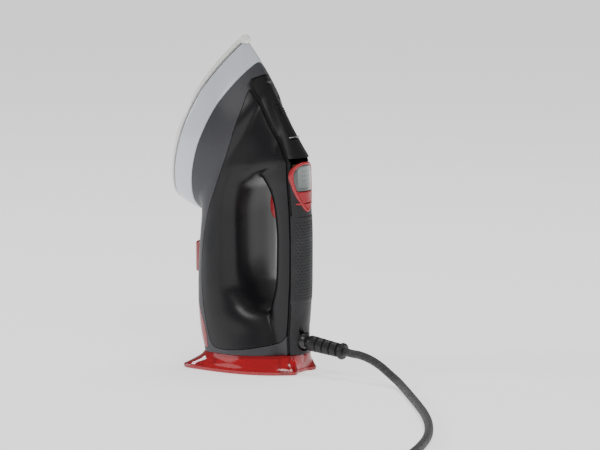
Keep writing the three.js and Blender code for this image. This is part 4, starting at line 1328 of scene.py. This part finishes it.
def heelRings(depth, top):
    low = fullOutline(heel["outline"], heel["steps"])
    high = fullOutline(heel["waist"], heel["steps"])
    flare = np.array(heel["flare"], float)
    rows = [(0.4, 0, 0.9), (0.5, 0, 0.5), (0.8, 0, 0.2), (1.3, 0, 0), (3.4, 0, 0), (3.8, 0, 0.1),
            (4.05, 0, 0.35)]
    for z in np.arange(4.6, 17.01, 0.62):
        share = throughRows(flare[:, 0], flare[:, 1:], np.array([z]))[0][0]
        rows.append((z, share, 0.35 * (1 - glide(z, 4.6, 9))))
    rows[-1] = (heel["top"], 1, 0)
    rings = []
    for z, share, edge in rows:
        flat = inset(low + (high - low) * share, depth + edge)
        rings.append(np.column_stack([flat, np.full(len(flat), z * top / heel["top"])]))
    return ringMesh("heel", rings)


def makeHeel():
    made = heelRings(0, heel["top"])
    hollow = heelRings(3, heel["top"] - 3)
    under = block(-far, far, -far, far, -2, 0.45)
    posts = [rod((x, y, -1), (x, y, far), 5) for x, y in heel["feet"]]
    cutOut(hollow, *posts)
    flute = rod((66.3, 0, -1), (62.3, 0, 18), 7, 4.6, 56)
    sockets = [rod((x, y, -1), (x, y, 2.9), 4.1) for x, y in heel["feet"]]
    bores = [rod((x, y, 5), (x, y, far), 1.9) for x, y in heel["screws"]]
    cutOut(made, hollow, under, flute, *sockets, *bores)
    return present(soften(made, 0.35, 3, 55), "heel_base", angle=45)


def makeFeet():
    for number, (x, y) in enumerate(heel["feet"]):
        profile = [(0, 3.1), (0.15, 3.5), (0.5, 3.75), (2.4, 3.8), (2.6, 3.6)]
        present(turned((x, y, 0), (0, 0, 1), profile, 40), f"heel_foot_{number + 1}")


makeHeel()
makeFeet()
discard(skin, skinInner, shell, crownShell)
stageNote("heel")

# What is carried over inside
for node, inner in frame["nodes"].items():
    if not inner.hide_render:
        inner.data.materials.clear()
        inner.data.materials.append(finishes[slotOf[node]])

# Floor and light
studio = {
    "floor": (0.95, 0.95, 0.95), "glow": 0.95, "world": (1.0, 1.0, 1.0), "worldStrength": 0.3,
    "lamps": [  # name, place, aim, size, power, colour
        ("key", (1.5, -1.1, 1.7), (0.0, 0, 0.15), 0.9, 17.0, (1, 0.99, 0.97)),
        ("left", (-1.9, -1.3, 1.1), (0, 0, 0.15), 0.8, 24.0, (0.97, 0.98, 1)),
        ("top", (0.1, 0.5, 2.3), (0, 0, 0.1), 1.2, 16.0, (1, 1, 1)),
    ],
}


def makeFloor():
    sides = 96
    angle = np.arange(sides) * 2 * math.pi / sides
    rim = np.column_stack([np.cos(angle), np.sin(angle), np.zeros(sides)]) * 14000
    made = meshOf("floor", rim, [list(range(sides))])
    paint = Paint("floor")
    slow = paint.noise(3.0, 2.0)
    tone = paint.blend(slow, tuple(c * 0.985 for c in studio["floor"]), studio["floor"])
    made.data.materials.append(paint.finish(
        baseColor=tone, roughness=0.6, emissionColor=studio["floor"], emissionStrength=studio["glow"]))


def makeLights():
    world = bpy.data.worlds.new("studio")
    world.use_nodes = True
    scene.world = world
    background = world.node_tree.nodes["Background"]
    background.inputs[0].default_value = (*studio["world"], 1)
    background.inputs[1].default_value = studio["worldStrength"]
    for name, place, aim, size, power, colour in studio["lamps"]:
        data = bpy.data.lights.new(name, "AREA")
        data.shape = "DISK"
        data.size = size
        data.energy = power
        data.color = colour
        lamp = bpy.data.objects.new(name, data)
        scene.collection.objects.link(lamp)
        lamp.location = place
        lamp.rotation_euler = (Vector(aim) - Vector(place)).to_track_quat("-Z", "Y").to_euler()


makeFloor()
makeLights()
stageNote("studio")

bpy.context.view_layer.update()
